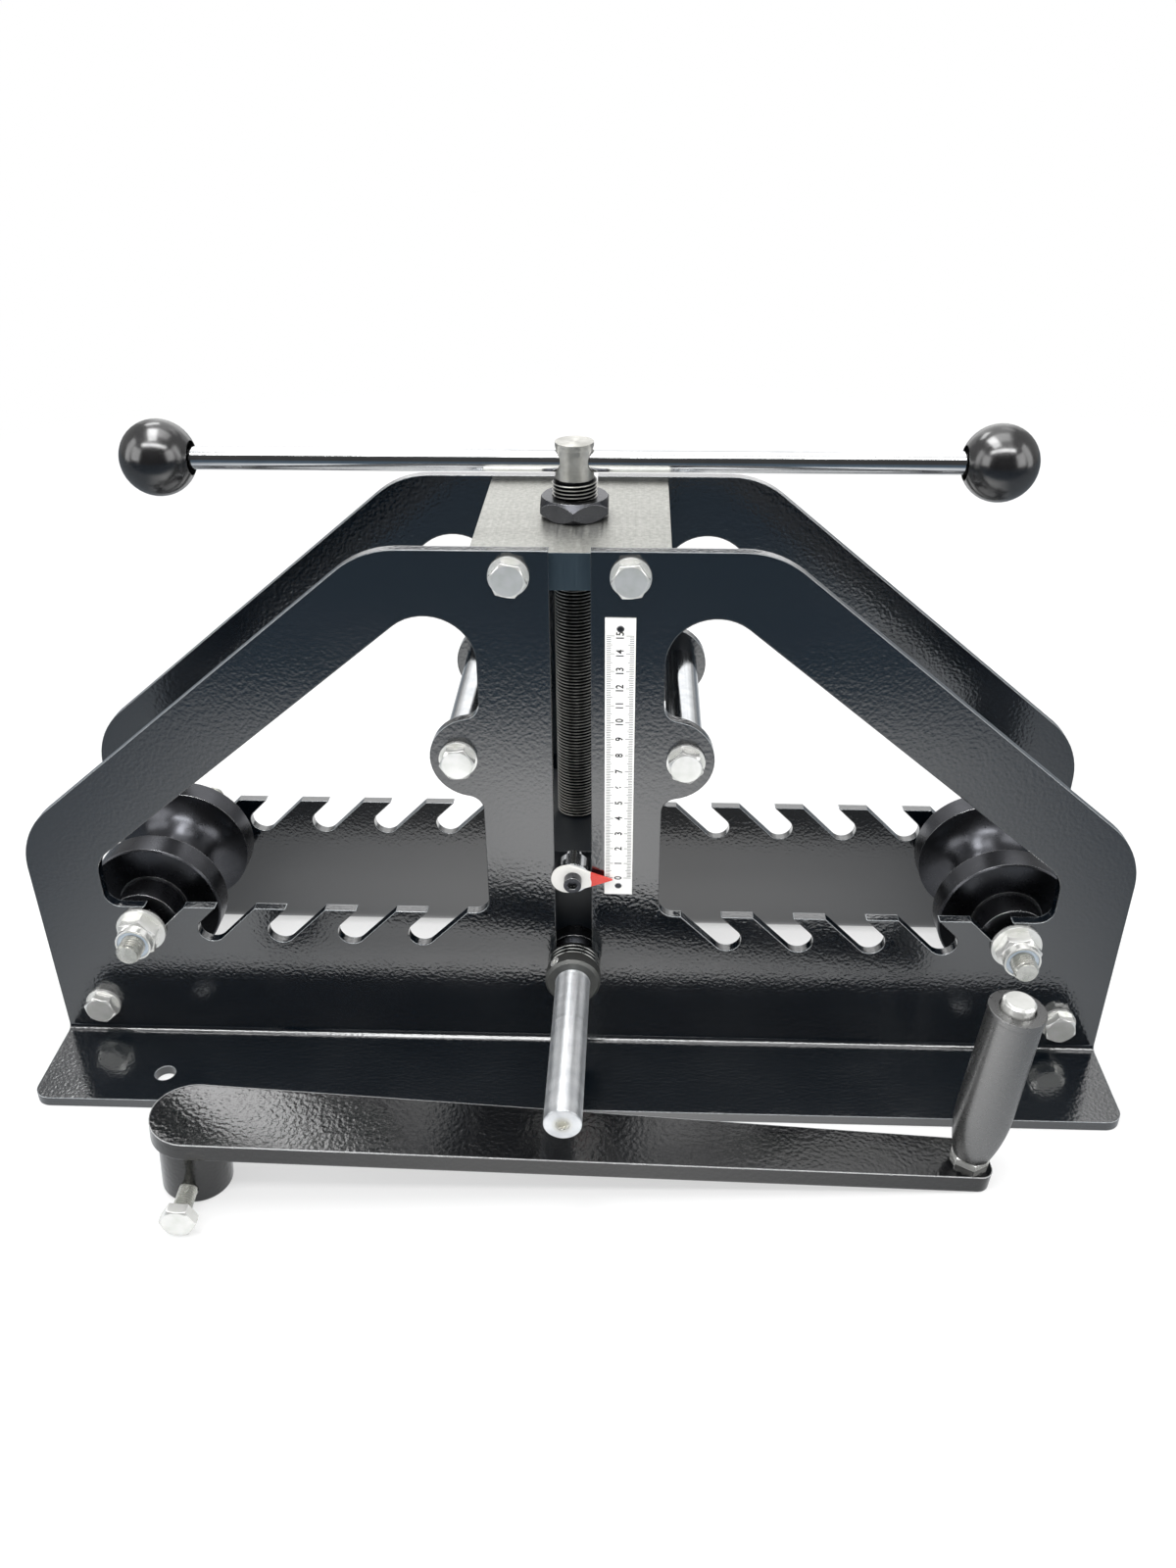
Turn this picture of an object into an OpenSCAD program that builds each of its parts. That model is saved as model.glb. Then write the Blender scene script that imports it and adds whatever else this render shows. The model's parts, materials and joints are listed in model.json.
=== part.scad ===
// Three-roll bender: two bent side plates, a screw-fed carriage with a driven roller,
// two free rollers in hook slots, and a crank laid down in front.
// Frame: +X along the plates, -Y towards the crank side, +Z up, origin on the floor midway.

/* [Side plates] */
// Width of a side plate
plate_w = 632; // [600:1:660]
// Height of a side plate
plate_h = 322; // [315:1:340]
// Thickness of the sheet
plate_t = 6; // [5:0.5:8]
// Clear distance between the two plates
plate_gap = 115; // [113:1:130]
// Height where the slanted sides begin
shoulder_h = 150; // [130:1:165]
// Length of the level top edge, corner to corner
top_w = 208; // [190:1:220]
// Rounding of the four upper corners
corner_r = 50; // [20:1:60]
// How far the base flange stands out from the plate's outer face
flange_reach = 61.5; // [50:0.5:80]
// Rounding of the flange's free corners
flange_corner_r = 10; // [1:0.5:15]
// Inner radius of the bend
bend_r = 4; // [2:0.5:8]
// Diameter of a base hole
base_hole_d = 12; // [8:0.5:14]
// Distance between base holes along the plate
base_hole_span = 487.6; // [440:0.2:540]
// Distance from a base hole to the flange's free edge
base_hole_inset = 22.5; // [15:0.5:30]

/* [Plate openings] */
// Width of the centre column
column_w = 98; // [92:1:104]
// Height of the lower rail's upper edge
rail_h = 100; // [95:1:110]
// Width of a slanted arm, square to it
arm_w = 40; // [32:1:48]
// Width of the outer post
post_w = 41; // [34:1:44]
// Rounding at the top of an opening
opening_top_r = 26; // [15:1:30]
// Rounding at the outer upper corner of an opening
opening_end_r = 20; // [10:1:22]
// Rounding at the lower corners of an opening
opening_foot_r = 9; // [4:0.5:10]
// Radius of the lobe that carries a middle spacer
lobe_r = 24; // [20:0.5:26]
// Distance of the lobe's centre from the middle
lobe_x = 53; // [50:0.5:56]
// Fillet between the lobe and the column
lobe_fillet_r = 9; // [5:0.5:12]

/* [Hook slots] */
// Hook slots on each side of a plate
hook_count = 5; // [3:1:5]
// Distance between neighbouring hook slots
hook_pitch = 41.8; // [36:0.2:42]
// Distance of the first slot's seat from the middle
hook_first = 89.5; // [88:0.5:94]
// Width of a hook slot
hook_w = 16.5; // [15.5:0.1:18]
// Depth of a slot's seat centre below the rail's edge
hook_drop = 15.8; // [12:0.1:18]
// Slant of a hook slot from level
hook_angle = 45; // [40:1:60]

/* [Top block] */
// Length of the block along the plates
block_w = 102; // [92:1:120]
// Height of the block
block_h = 20; // [16:0.5:24]
// Distance of the block's upper face below the plates' top edges
block_drop = 3; // [1:0.5:6]
// Distance of a block bolt from the middle
block_bolt_x = 30.6; // [26:0.1:36]

/* [Spacer rods] */
// Diameter of a spacer rod
spacer_d = 20; // [18:0.5:22]
// Distance of a middle spacer from the middle
mid_spacer_x = 61.5; // [58:0.5:64]
// Height of a middle spacer
mid_spacer_z = 203.7; // [190:0.1:215]
// Distance of a lower spacer from the plate's end
low_spacer_inset = 25.2; // [20:0.1:30]
// Height of a lower spacer
low_spacer_z = 26.6; // [24:0.1:34]

/* [Plate bolts] */
// Thread diameter of a plate bolt
bolt_d = 10; // [8:1:12]
// Width across flats of a bolt head
bolt_af = 17; // [16:0.5:18]
// Height of a bolt head
bolt_head_h = 6.4; // [5:0.1:9]
// Outer diameter of the washer under a bolt head
bolt_washer_d = 21; // [20.8:0.1:22]
// Thickness of the washer under a bolt head
bolt_washer_t = 2; // [1:0.1:3]
// Length of thread inside a rod or block
bolt_engage = 22; // [15:1:30]

/* [Scale] */
// Width of the scale
scale_w = 15.8; // [12:0.2:18]
// Length of the scale
scale_l = 171; // [165:1:175]
// Thickness of the scale
scale_t = 0.8; // [0.4:0.1:1]
// Distance of the scale's middle line from the slot's middle
scale_x = 25.7; // [25:0.1:28]
// Clear space between the block bolts' washers and the scale's upper end
scale_gap = 11.5; // [10:0.5:16]
// Distance of a rivet from the nearer end
rivet_inset = 5.9; // [4:0.1:7]
// Diameter of a rivet's head
rivet_d = 4; // [3:0.1:5]
// Height of a rivet's head
rivet_h = 0.6; // [0.3:0.1:0.8]

/* [Rollers] */
// Outer diameter of a roller
roller_d = 80; // [74:1:82]
// Width of a roller
roller_w = 80; // [74:1:82]
// Radius of the groove's round section
groove_r = 24; // [20:0.5:26]
// Depth of the groove
groove_depth = 20; // [14:0.5:20]
// Bevel on the rims
rim_bevel = 1; // [0.5:0.1:2]
// Outer diameter of a roller bearing
bearing_d = 42; // [38:1:47]
// Width of a roller bearing
bearing_w = 12; // [8:1:16]
// Bore of a free roller between its bearings
roller_bore_d = 26; // [24:1:30]
// Diameter of a roller axle
axle_d = 20; // [17:1:22]
// Diameter of the axle's neck in the hook slot
axle_neck_d = 16; // [14.5:0.1:16.2]
// Thread diameter at the axle's ends
axle_thread_d = 14; // [10:1:14]
// Reach of the axle's ends beyond the plate
axle_tail = 26; // [20:0.5:32]
// Bevel at the axle's ends
axle_bevel = 1.5; // [0.5:0.1:3]
// Outer diameter of a hub between plate and roller
hub_d = 40; // [30:1:41]

/* [Axle nuts] */
// Outer diameter of an axle washer
washer_d = 29; // [24:0.5:30]
// Thickness of an axle washer
washer_t = 2.5; // [1.5:0.1:3]
// Width across flats of an axle nut
nut_af = 22; // [19:0.5:24]
// Height of the nut's hexagon
nut_h = 9; // [7:0.5:10]
// Diameter of the nut's round collar
nut_collar_d = 20.9; // [18:0.1:21]
// Height of the nut's round collar
nut_collar_h = 5; // [4:0.5:6]
// Wall of the nut's round collar
nut_collar_wall = 1.2; // [0.8:0.1:1.6]
// Depth of the nylon ring below the collar's edge
nut_lip = 0.8; // [0.4:0.1:1.5]

/* [Carriage] */
// Lowest height of the drive shaft's axis
shaft_z = 65; // [60:0.5:70]
// Width of the yoke along the plates
yoke_w = 76; // [64:1:84]
// Height of the yoke's upper face
yoke_top = 133.5; // [132:0.5:140]
// Thickness of the yoke's bridge
yoke_bridge = 16; // [12:0.5:17]
// Thickness of a yoke cheek
cheek_t = 6; // [4:0.5:7]
// Radius of a cheek's round foot
cheek_foot_r = 24; // [20:0.5:28]
// Running gap between the driven roller and a cheek
cheek_gap = 1.25; // [1:0.05:1.6]
// Outer diameter of a cheek bush
bush_d = 26; // [24:0.5:30]
// Diameter of a cheek bush's flange
bush_flange_d = 34; // [31:0.5:38]
// Thickness of a cheek bush's flange
bush_flange_t = 0.8; // [0.4:0.1:0.8]

/* [Pointer] */
// Diameter of the standoff behind the pointer
standoff_d = 19.5; // [16:0.25:19.75]
// Length of the standoff's full diameter
standoff_l = 11.5; // [9:0.5:14]
// Diameter of the standoff's neck on the yoke
standoff_neck_d = 14; // [11:0.5:15]
// Width of the slit in the standoff's front end
standoff_slit = 2.2; // [1.5:0.1:3]
// Depth of the slit in the standoff's front end
standoff_slit_l = 6.5; // [2:0.5:7]
// Distance of the pointer's screw below the yoke's upper face
pointer_drop = 6; // [4:0.5:8]
// Gap between the plate and the pointer
pointer_gap = 2.2; // [2:0.1:4]
// Thickness of the pointer
pointer_t = 1.5; // [1:0.1:2.5]
// Radius of the pointer's round end
pointer_r = 9; // [8:0.5:10]
// Distance of the round end's centre from the screw
pointer_back = 3.3; // [0:0.1:4]
// Reach of the pointer's tip from its screw
pointer_reach = 22.5; // [20:0.5:23]
// Thread diameter of the pointer's screw
pointer_screw_d = 6; // [4:0.5:7]
// Head diameter of the pointer's screw
pointer_head_d = 10; // [9:0.5:11]
// Head height of the pointer's screw
pointer_head_h = 6; // [4:0.5:8]
// Width across flats of the socket in a screw
socket_af = 5; // [3:0.5:5]

/* [Drive shaft] */
// Diameter of the drive shaft
shaft_d = 20.4; // [18:0.1:20.5]
// Reach of the shaft in front of the front plate
shaft_front = 131; // [100:1:135]
// Reach of the shaft behind the rear plate
shaft_rear = 28; // [26:1:50]
// How much thinner the drive end is, all round, so that the crank slides on
shaft_end_relief = 0.2; // [0.16:0.01:0.5]
// Gap between the front collar and the drive end
shaft_end_gap = 1; // [0.5:0.1:3]
// Bevel at the shaft's ends
shaft_bevel = 0.6; // [0.5:0.1:2]
// Diameter of the centre drilling in the shaft's ends
centre_drill_d = 8; // [4:0.5:9]
// Outer diameter of a shaft collar
collar_d = 32; // [30:0.5:32]
// Width of a shaft collar
collar_w = 10; // [9.5:0.5:16]
// Bevel on a shaft collar's edges
collar_bevel = 1.5; // [0.5:0.1:3]
// Thread diameter of a collar's set screw
set_screw_d = 6; // [4:0.5:8]
// Direction of the set screw, seen from the crank side
set_screw_angle = 133; // [0:1:359]
// Outer diameter of a shaft washer
shim_d = 31; // [28:0.5:32]
// Thickness of a shaft washer
shim_t = 4.5; // [2:0.1:5]
// Shaft washers at each plate
shim_count = 2; // [1:1:2]
// Width of the shaft's key
key_w = 6; // [5:0.5:7]
// Height of the shaft's key
key_h = 6; // [5:0.5:6.5]
// Length of the shaft's key
key_l = 50; // [30:1:60]

/* [Press screw] */
// Outer diameter of the screw thread
screw_d = 24; // [22:0.5:26]
// Length of thread above the top block
screw_above = 20.5; // [18:0.5:26]
// Diameter of the screw's head
head_d = 20.5; // [19:0.5:22]
// Height of the screw's head
head_h = 19; // [18:0.5:24]
// Diameter of the cross hole in the head
bar_hole_d = 14.4; // [13:0.1:15]
// Distance of the cross hole below the head's upper face
bar_hole_drop = 9.2; // [8.5:0.1:10]
// Diameter of the spigot at the screw's foot
spigot_d = 14; // [10:0.5:16]
// Diameter of the retainer under the yoke's bridge
retainer_d = 24; // [20:0.5:28]
// Height of the retainer under the yoke's bridge
retainer_h = 6; // [4:0.5:7]
// Width across flats of the lock nut
lock_af = 36; // [34:0.5:38]
// Height of the lock nut
lock_h = 11; // [8:0.5:12]
// Diameter of the lock nut's round crowns
lock_crown_d = 34.8; // [32:0.2:35.4]
// Slope of the bevel on the lock nut's corners
lock_bevel = 50; // [30:1:52]

/* [Tommy bar] */
// Diameter of the tommy bar
bar_d = 12; // [10:0.5:12]
// Distance between the ball knobs' centres
bar_span = 442; // [360:1:520]
// Diameter of a ball knob
knob_d = 40; // [34:1:41]
// Diameter of the recess round the bar in a knob
knob_recess_d = 18; // [15:0.5:22]
// Distance of the recess's floor from the knob's centre
knob_floor = 12; // [8:0.5:13]

/* [Crank] */
// Distance between the boss and the grip
crank_l = 420.5; // [380:0.5:440]
// Thickness of the crank arm
crank_t = 10.5; // [8:0.5:12]
// Width of the crank arm at the boss
crank_root_w = 44.5; // [42:0.5:50]
// Width of the crank arm at the grip
crank_tip_w = 28; // [26:0.5:32]
// Length of the crank arm beyond the grip's axis
crank_tip_l = 11; // [10:0.5:16]
// Rounding of the crank arm's corners at the grip
crank_tip_r = 8; // [3:0.5:9]
// Outer diameter of the boss
boss_d = 37.5; // [36:0.5:40]
// Length of the boss below the arm
boss_l = 35.5; // [30:0.5:45]
// Place of the boss along the plates
crank_x = -199.5; // [-220:0.5:-190]
// Place of the boss in front of the front plate
crank_y = 112.5; // [100:0.5:125]
// Turn of the crank from the plates' direction
crank_yaw = 2.3; // [0:0.1:4]
// Distance of the clamp bolt from the boss's open end
clamp_z = 9; // [8.5:0.5:16]
// Length of clamp bolt that stands out of the boss
clamp_out = 16.5; // [13:0.5:20]

/* [Crank grip] */
// Length of the grip
grip_l = 101; // [80:1:120]
// Diameter at the grip's foot
grip_foot_d = 20.4; // [19:0.2:22]
// Largest diameter of the grip
grip_d = 30; // [26:0.2:32]
// Height of the largest diameter above the foot
grip_belly_z = 32; // [22:1:44]
// Diameter below the grip's rim
grip_neck_d = 28.8; // [23:0.2:29.4]
// Diameter of the grip's rim
grip_rim_d = 29.6; // [27:0.2:33]
// Height of the grip's rim
grip_rim_h = 3.5; // [3:0.5:8]
// Diameter of the recess for the bolt head
grip_recess_d = 19; // [18.4:0.2:23]
// Depth of the recess for the bolt head
grip_recess = 2.5; // [1.5:0.1:4]
// Diameter of the grip bolt
grip_bolt_d = 12; // [8:0.5:13]
// Diameter of the grip bolt's head
grip_head_d = 17; // [16:0.5:18.5]
// Height of the grip bolt's head
grip_head_h = 7.5; // [4:0.5:8]
// Bevel round the grip bolt's head
grip_head_bevel = 1.2; // [0.4:0.1:2]
// Height of the nut between grip and arm
grip_nut_h = 5; // [4:0.5:8]
// Width across flats of the grip bolt's nut
grip_nut_af = 18; // [17:0.5:20]

/* [Fits] */
// Radial clearance of a running fit
run_clear = 0.05; // [0.02:0.01:0.09]
// Radial clearance of a seated piece
seat_clear = 0.02; // [0.01:0.01:0.05]
// Radial clearance of a bolt in a plate
bolt_clear = 0.25; // [0.1:0.05:0.4]
// Gap between flat faces that slide
face_gap = 0.3; // [0.2:0.05:0.4]
// Gap at each side of the shaft in the vertical slot
slot_clear = 0.3; // [0.3:0.05:0.8]
// How far a round cut crosses the straight edge that it runs into
ease = 0.005; // [0.002:0.001:0.02]

/* [Hidden] */
$fn = 96;
tiny = 0.01;
hex_bevel = 30;
hex_crown = 0.95;
block_turns = [-10, 5];
middle_turns = [5, -15];
lower_turns = [-15, -18];
nut_turns = [15, 8];
slit_angle = 121;
plate_in = plate_gap / 2;
plate_out = plate_in + plate_t;
bend_out = bend_r + plate_t;
half_w = plate_w / 2;
slope = (plate_h - shoulder_h) / (half_w - top_w / 2);
arm_drop = arm_w * sqrt(1 + slope * slope);
flange_edge = plate_out + flange_reach;
base_hole_y = flange_edge - base_hole_inset;
opening_in = column_w / 2;
opening_out = half_w - post_w;
roller_x = hook_first + (hook_count - 1) * hook_pitch;
roller_z = rail_h - hook_drop;
low_spacer_x = half_w - low_spacer_inset;
block_top = plate_h - block_drop;
block_z = block_top - block_h / 2;
scale_z = block_z - bolt_washer_d / 2 - scale_gap - scale_l;
slot_w = shaft_d + 2 * slot_clear;
shaft_end_d = shaft_d - 2 * shaft_end_relief;
collar_y = plate_out + face_gap + shim_count * shim_t;
shaft_step = collar_y + collar_w + shaft_end_gap;
cheek_in = roller_w / 2 + cheek_gap;
cheek_out = cheek_in + cheek_t;
bridge_z = yoke_top - yoke_bridge;
pointer_z = yoke_top - pointer_drop;
standoff_tip = plate_out + pointer_gap;
screw_top = block_top + screw_above;
head_top = screw_top + head_h;
bar_hole_z = head_top - bar_hole_drop;
bar_z = bar_hole_z - (bar_hole_d - bar_d) / 2 + face_gap;
spigot_z = bridge_z - face_gap - retainer_h;
crank_end = crank_l + crank_tip_l;
crank_tilt = atan(boss_l / (crank_end - boss_d / 2));
crank_lift = crank_end * sin(crank_tilt);
grip_z = crank_t + grip_nut_h + face_gap;
grip_top = grip_z + grip_l;
head_seat = grip_top - grip_recess + face_gap;

black_coat = "#1c1f22";
zinc = "#c4c8cc";
chrome = "#dde1e6";
bare_steel = "#9a9d9f";
black_oxide = "#2a2b2d";
black_plastic = "#151617";
bronze = "#b08a4a";

// Shared shapes

function unit(v) = v / norm(v);

// What a rounded corner at p, between a and b, takes off its point
module corner_sliver(a, p, b, r) {
    u = unit(a - p);
    v = unit(b - p);
    half = acos(u * v) / 2;
    centre = p + unit(u + v) * r / sin(half);
    reach = r / tan(half);
    difference() {
        polygon([p + u * reach, p - unit(u + v) * r, p + v * reach, centre]);
        translate(centre) circle(r + ease);
    }
}

// Convex polygon with true arcs of the given radii at its corners
module rounded_polygon(points, radii) {
    n = len(points);
    difference() {
        polygon(points);
        for (i = [0:n - 1])
            if (radii[i] > 0)
                corner_sliver(points[(i + n - 1) % n], points[i], points[(i + 1) % n], radii[i]);
    }
}

// Draws its children and their mirror image at the other plate
module both_plates() {
    children();
    mirror([0, 1, 0]) children();
}

// Draws its children and their mirror image at the other end
module both_ends() {
    children();
    mirror([1, 0, 0]) children();
}

// Turns an upright shape towards the crank side and puts its foot at the given depth
module facing_front(x, depth, z) {
    translate([x, -depth, z]) rotate([90, 0, 0]) children();
}

// Ring or disc standing on its foot
module ring(d, hole, h) {
    difference() {
        cylinder(d = d, h = h);
        translate([0, 0, -1]) cylinder(d = hole, h = h + 2);
    }
}

// Ring with both outer edges bevelled
module bevelled_ring(d, hole, h, bevel) {
    difference() {
        union() {
            cylinder(d1 = d - 2 * bevel, d2 = d, h = bevel);
            translate([0, 0, bevel]) cylinder(d = d, h = h - 2 * bevel);
            translate([0, 0, h - bevel]) cylinder(d1 = d, d2 = d - 2 * bevel, h = bevel);
        }
        translate([0, 0, -1]) cylinder(d = hole, h = h + 2);
    }
}

// Hexagon with its upper corners bevelled down to a round crown
module hexagon(af, h, crown_d, bevel = hex_bevel) {
    intersection() {
        cylinder(d = af / cos(30), h = h, $fn = 6);
        cylinder(d1 = crown_d + 2 * h / tan(bevel), d2 = crown_d, h = h);
    }
}

// Hex bolt, head above the foot plane and shank below it
module hex_bolt(d, af, head_h, shank_l) {
    hexagon(af, head_h, hex_crown * af);
    translate([0, 0, -shank_l]) cylinder(d = d, h = shank_l + tiny);
}

// Hexagonal socket cut downward from the foot plane
module socket(af, depth) {
    translate([0, 0, -depth]) cylinder(d = af / cos(30), h = depth + 1, $fn = 6);
}

// Side plates

module plate_outline() {
    rounded_polygon([[-half_w, bend_out], [half_w, bend_out], [half_w, shoulder_h], [top_w / 2, plate_h],
                     [-top_w / 2, plate_h], [-half_w, shoulder_h]],
                    [0, 0, corner_r, corner_r, corner_r, corner_r]);
}

// Lobe that swells out of the column, with its two fillets
module spacer_lobe() {
    fillet_x = opening_in + lobe_fillet_r;
    rise = sqrt(pow(lobe_r + lobe_fillet_r, 2) - pow(fillet_x - lobe_x, 2));
    translate([lobe_x, mid_spacer_z]) circle(lobe_r);
    difference() {
        polygon([[opening_in - 1, mid_spacer_z - rise], [fillet_x, mid_spacer_z - rise],
                 [lobe_x, mid_spacer_z], [fillet_x, mid_spacer_z + rise],
                 [opening_in - 1, mid_spacer_z + rise]]);
        for (side = [-1, 1]) translate([fillet_x, mid_spacer_z + side * rise])
            circle(lobe_fillet_r + ease);
    }
}

// Slanted slot from its seat up past the rail's edge
module hook_slot() {
    length = (hook_drop + hook_w) / sin(hook_angle);
    width = hook_w - 2 * ease;
    circle(d = hook_w);
    rotate(180 - hook_angle) translate([0, -width / 2]) square([length, width]);
}

// Opening at the right of the column, with the hook slots along its lower edge
module plate_opening() {
    arm_z = plate_h + slope * top_w / 2 - arm_drop;
    difference() {
        rounded_polygon([[opening_in, rail_h], [opening_out, rail_h],
                         [opening_out, arm_z - slope * opening_out],
                         [opening_in, arm_z - slope * opening_in]],
                        [opening_foot_r, opening_foot_r, opening_end_r, opening_top_r]);
        spacer_lobe();
    }
    for (i = [0:hook_count - 1]) translate([hook_first + i * hook_pitch, roller_z]) hook_slot();
}

module bolt_holes() {
    hole_d = bolt_d + 2 * bolt_clear;
    translate([block_bolt_x, block_z]) circle(d = hole_d);
    translate([mid_spacer_x, mid_spacer_z]) circle(d = hole_d);
    translate([low_spacer_x, low_spacer_z]) circle(d = hole_d);
}

module shaft_slot() {
    translate([0, shaft_z]) circle(d = slot_w);
    translate([-slot_w / 2, shaft_z]) square([slot_w, plate_h]);
}

// Level flange with rounded free corners and base holes
module base_flange() {
    linear_extrude(plate_t) difference() {
        rounded_polygon([[-half_w, -flange_edge], [half_w, -flange_edge], [half_w, -plate_in - bend_out],
                         [-half_w, -plate_in - bend_out]],
                        [flange_corner_r, flange_corner_r, 0, 0]);
        both_ends() translate([base_hole_span / 2, -base_hole_y]) circle(d = base_hole_d);
    }
}

// Quarter bend between flange and sheet
module sheet_bend() {
    translate([-half_w, 0, 0]) rotate([90, 0, 90]) linear_extrude(plate_w)
        translate([-plate_in - bend_out, bend_out]) intersection() {
            difference() {
                circle(bend_out);
                circle(bend_r);
            }
            translate([0, -bend_out]) square(bend_out);
        }
}

module side_plate() {
    facing_front(0, plate_in, 0) linear_extrude(plate_t) difference() {
        plate_outline();
        both_ends() plate_opening();
        both_ends() bolt_holes();
        shaft_slot();
    }
    sheet_bend();
    base_flange();
}

module front_plate() {
    color(black_coat) side_plate();
}

module rear_plate() {
    color(black_coat) mirror([0, 1, 0]) side_plate();
}

// Top block, spacer rods and their bolts

// Tapped hole that takes a plate bolt
module tapped_hole() {
    translate([0, 0, -bolt_engage - 2]) cylinder(d = bolt_d + 2 * seat_clear, h = bolt_engage + 3);
}

// Bolts through both plates at both ends, each head turned as it was tightened
module plate_bolts(x, z, turns) {
    both_plates() for (end = [0, 1])
        facing_front((2 * end - 1) * x, plate_out + bolt_washer_t, z) rotate(turns[end])
            hex_bolt(bolt_d, bolt_af, bolt_head_h, bolt_washer_t + plate_t + bolt_engage);
}

module top_block() {
    color(bare_steel) difference() {
        translate([-block_w / 2, -plate_in, block_top - block_h]) cube([block_w, plate_gap, block_h]);
        translate([0, 0, block_top - block_h - 1]) cylinder(d = screw_d + 2 * run_clear, h = block_h + 2);
        both_plates() both_ends() facing_front(block_bolt_x, plate_in, block_z) tapped_hole();
    }
}

module block_bolts() {
    color(zinc) plate_bolts(block_bolt_x, block_z, block_turns);
}

// Rod between the plates, tapped at both ends
module spacer_rod(x, z) {
    difference() {
        facing_front(x, -plate_in, z) cylinder(d = spacer_d, h = plate_gap);
        both_plates() facing_front(x, plate_in, z) tapped_hole();
    }
}

module middle_spacers() {
    color(chrome) both_ends() spacer_rod(mid_spacer_x, mid_spacer_z);
}

module middle_bolts() {
    color(zinc) plate_bolts(mid_spacer_x, mid_spacer_z, middle_turns);
}

module lower_spacers() {
    color(chrome) both_ends() spacer_rod(low_spacer_x, low_spacer_z);
}

module lower_bolts() {
    color(zinc) plate_bolts(low_spacer_x, low_spacer_z, lower_turns);
}

module bolt_washers() {
    hole_d = bolt_d + 2 * bolt_clear;
    color(zinc) both_plates() both_ends() {
        facing_front(block_bolt_x, plate_out, block_z) ring(bolt_washer_d, hole_d, bolt_washer_t);
        facing_front(mid_spacer_x, plate_out, mid_spacer_z) ring(bolt_washer_d, hole_d, bolt_washer_t);
        facing_front(low_spacer_x, plate_out, low_spacer_z) ring(bolt_washer_d, hole_d, bolt_washer_t);
    }
}

// Scale on the front plate

module scale_strip() {
    color("#dcdcd8") facing_front(scale_x, plate_out, scale_z) linear_extrude(scale_t)
        translate([-scale_w / 2, 0]) square([scale_w, scale_l]);
}

module scale_rivets() {
    color(black_oxide) for (along = [rivet_inset, scale_l - rivet_inset])
        facing_front(scale_x, plate_out + scale_t, scale_z + along)
            cylinder(d1 = rivet_d, d2 = rivet_d / 2, h = rivet_h);
}

// Rollers and what carries them

// Section of a grooved roller, radius along X
module roller_section(bore_d) {
    difference() {
        rim = roller_d / 2;
        half = roller_w / 2;
        polygon([[bore_d / 2, -half], [rim - rim_bevel, -half], [rim, -half + rim_bevel],
                 [rim, half - rim_bevel], [rim - rim_bevel, half], [bore_d / 2, half]]);
        translate([rim - groove_depth + groove_r, 0]) circle(groove_r);
    }
}

// Turns a shape made about Z so that it lies along Y at the given place
module along_shaft(x, z) {
    translate([x, 0, z]) rotate([90, 0, 0]) children();
}

// Free roller with a bearing pocket at each end
module free_roller() {
    pocket = bearing_d + 2 * seat_clear;
    difference() {
        rotate_extrude() roller_section(roller_bore_d);
        for (end = [-1, 1]) translate([0, 0, end * roller_w / 2])
            cylinder(d = pocket, h = 2 * bearing_w, center = true);
    }
}

// Sealed bearings, flush with the roller's faces
module roller_bearings() {
    for (end = [0, 1]) mirror([0, 0, end]) translate([0, 0, roller_w / 2 - bearing_w])
        ring(bearing_d, axle_d + 2 * run_clear, bearing_w);
}

// Axle with a neck for each hook slot and a bevelled thread at each end
module roller_axle() {
    thread_end = plate_out + axle_tail - axle_bevel;
    cylinder(d = axle_d, h = plate_gap, center = true);
    cylinder(d = axle_neck_d, h = 2 * plate_out, center = true);
    cylinder(d = axle_thread_d, h = 2 * thread_end, center = true);
    for (end = [0, 1]) mirror([0, 0, end]) translate([0, 0, thread_end])
        cylinder(d1 = axle_thread_d, d2 = axle_thread_d - 2 * axle_bevel, h = axle_bevel);
}

// Hubs that hold the roller midway
module roller_hubs() {
    for (end = [0, 1]) mirror([0, 0, end]) translate([0, 0, roller_w / 2 + face_gap])
        ring(hub_d, axle_d + 2 * seat_clear, plate_in - roller_w / 2 - face_gap);
}

module left_axle() {
    color(bare_steel) along_shaft(-roller_x, roller_z) roller_axle();
}

module right_axle() {
    color(bare_steel) along_shaft(roller_x, roller_z) roller_axle();
}

module left_hubs() {
    color(black_oxide) along_shaft(-roller_x, roller_z) roller_hubs();
}

module right_hubs() {
    color(black_oxide) along_shaft(roller_x, roller_z) roller_hubs();
}

module left_roller() {
    color(black_oxide) along_shaft(-roller_x, roller_z) free_roller();
}

module right_roller() {
    color(black_oxide) along_shaft(roller_x, roller_z) free_roller();
}

module left_bearings() {
    color(bare_steel) along_shaft(-roller_x, roller_z) roller_bearings();
}

module right_bearings() {
    color(bare_steel) along_shaft(roller_x, roller_z) roller_bearings();
}

module axle_washers() {
    color(zinc) both_plates() both_ends() facing_front(roller_x, plate_out, roller_z)
        ring(washer_d, axle_thread_d + 2 * bolt_clear, washer_t);
}

// Hex nut with a thin round collar that holds a nylon ring
module axle_nuts() {
    bore = axle_thread_d + 2 * seat_clear;
    foot = plate_out + washer_t;
    color(zinc) both_plates() for (end = [0, 1])
        facing_front((2 * end - 1) * roller_x, foot, roller_z) rotate(nut_turns[end]) difference() {
            union() {
                hexagon(nut_af, nut_h, nut_collar_d);
                cylinder(d = nut_collar_d, h = nut_h + nut_collar_h);
            }
            translate([0, 0, -1]) cylinder(d = bore, h = nut_h + nut_collar_h + 2);
            translate([0, 0, nut_h]) cylinder(d = nut_collar_d - 2 * nut_collar_wall, h = nut_collar_h + 1);
        }
}

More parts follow.
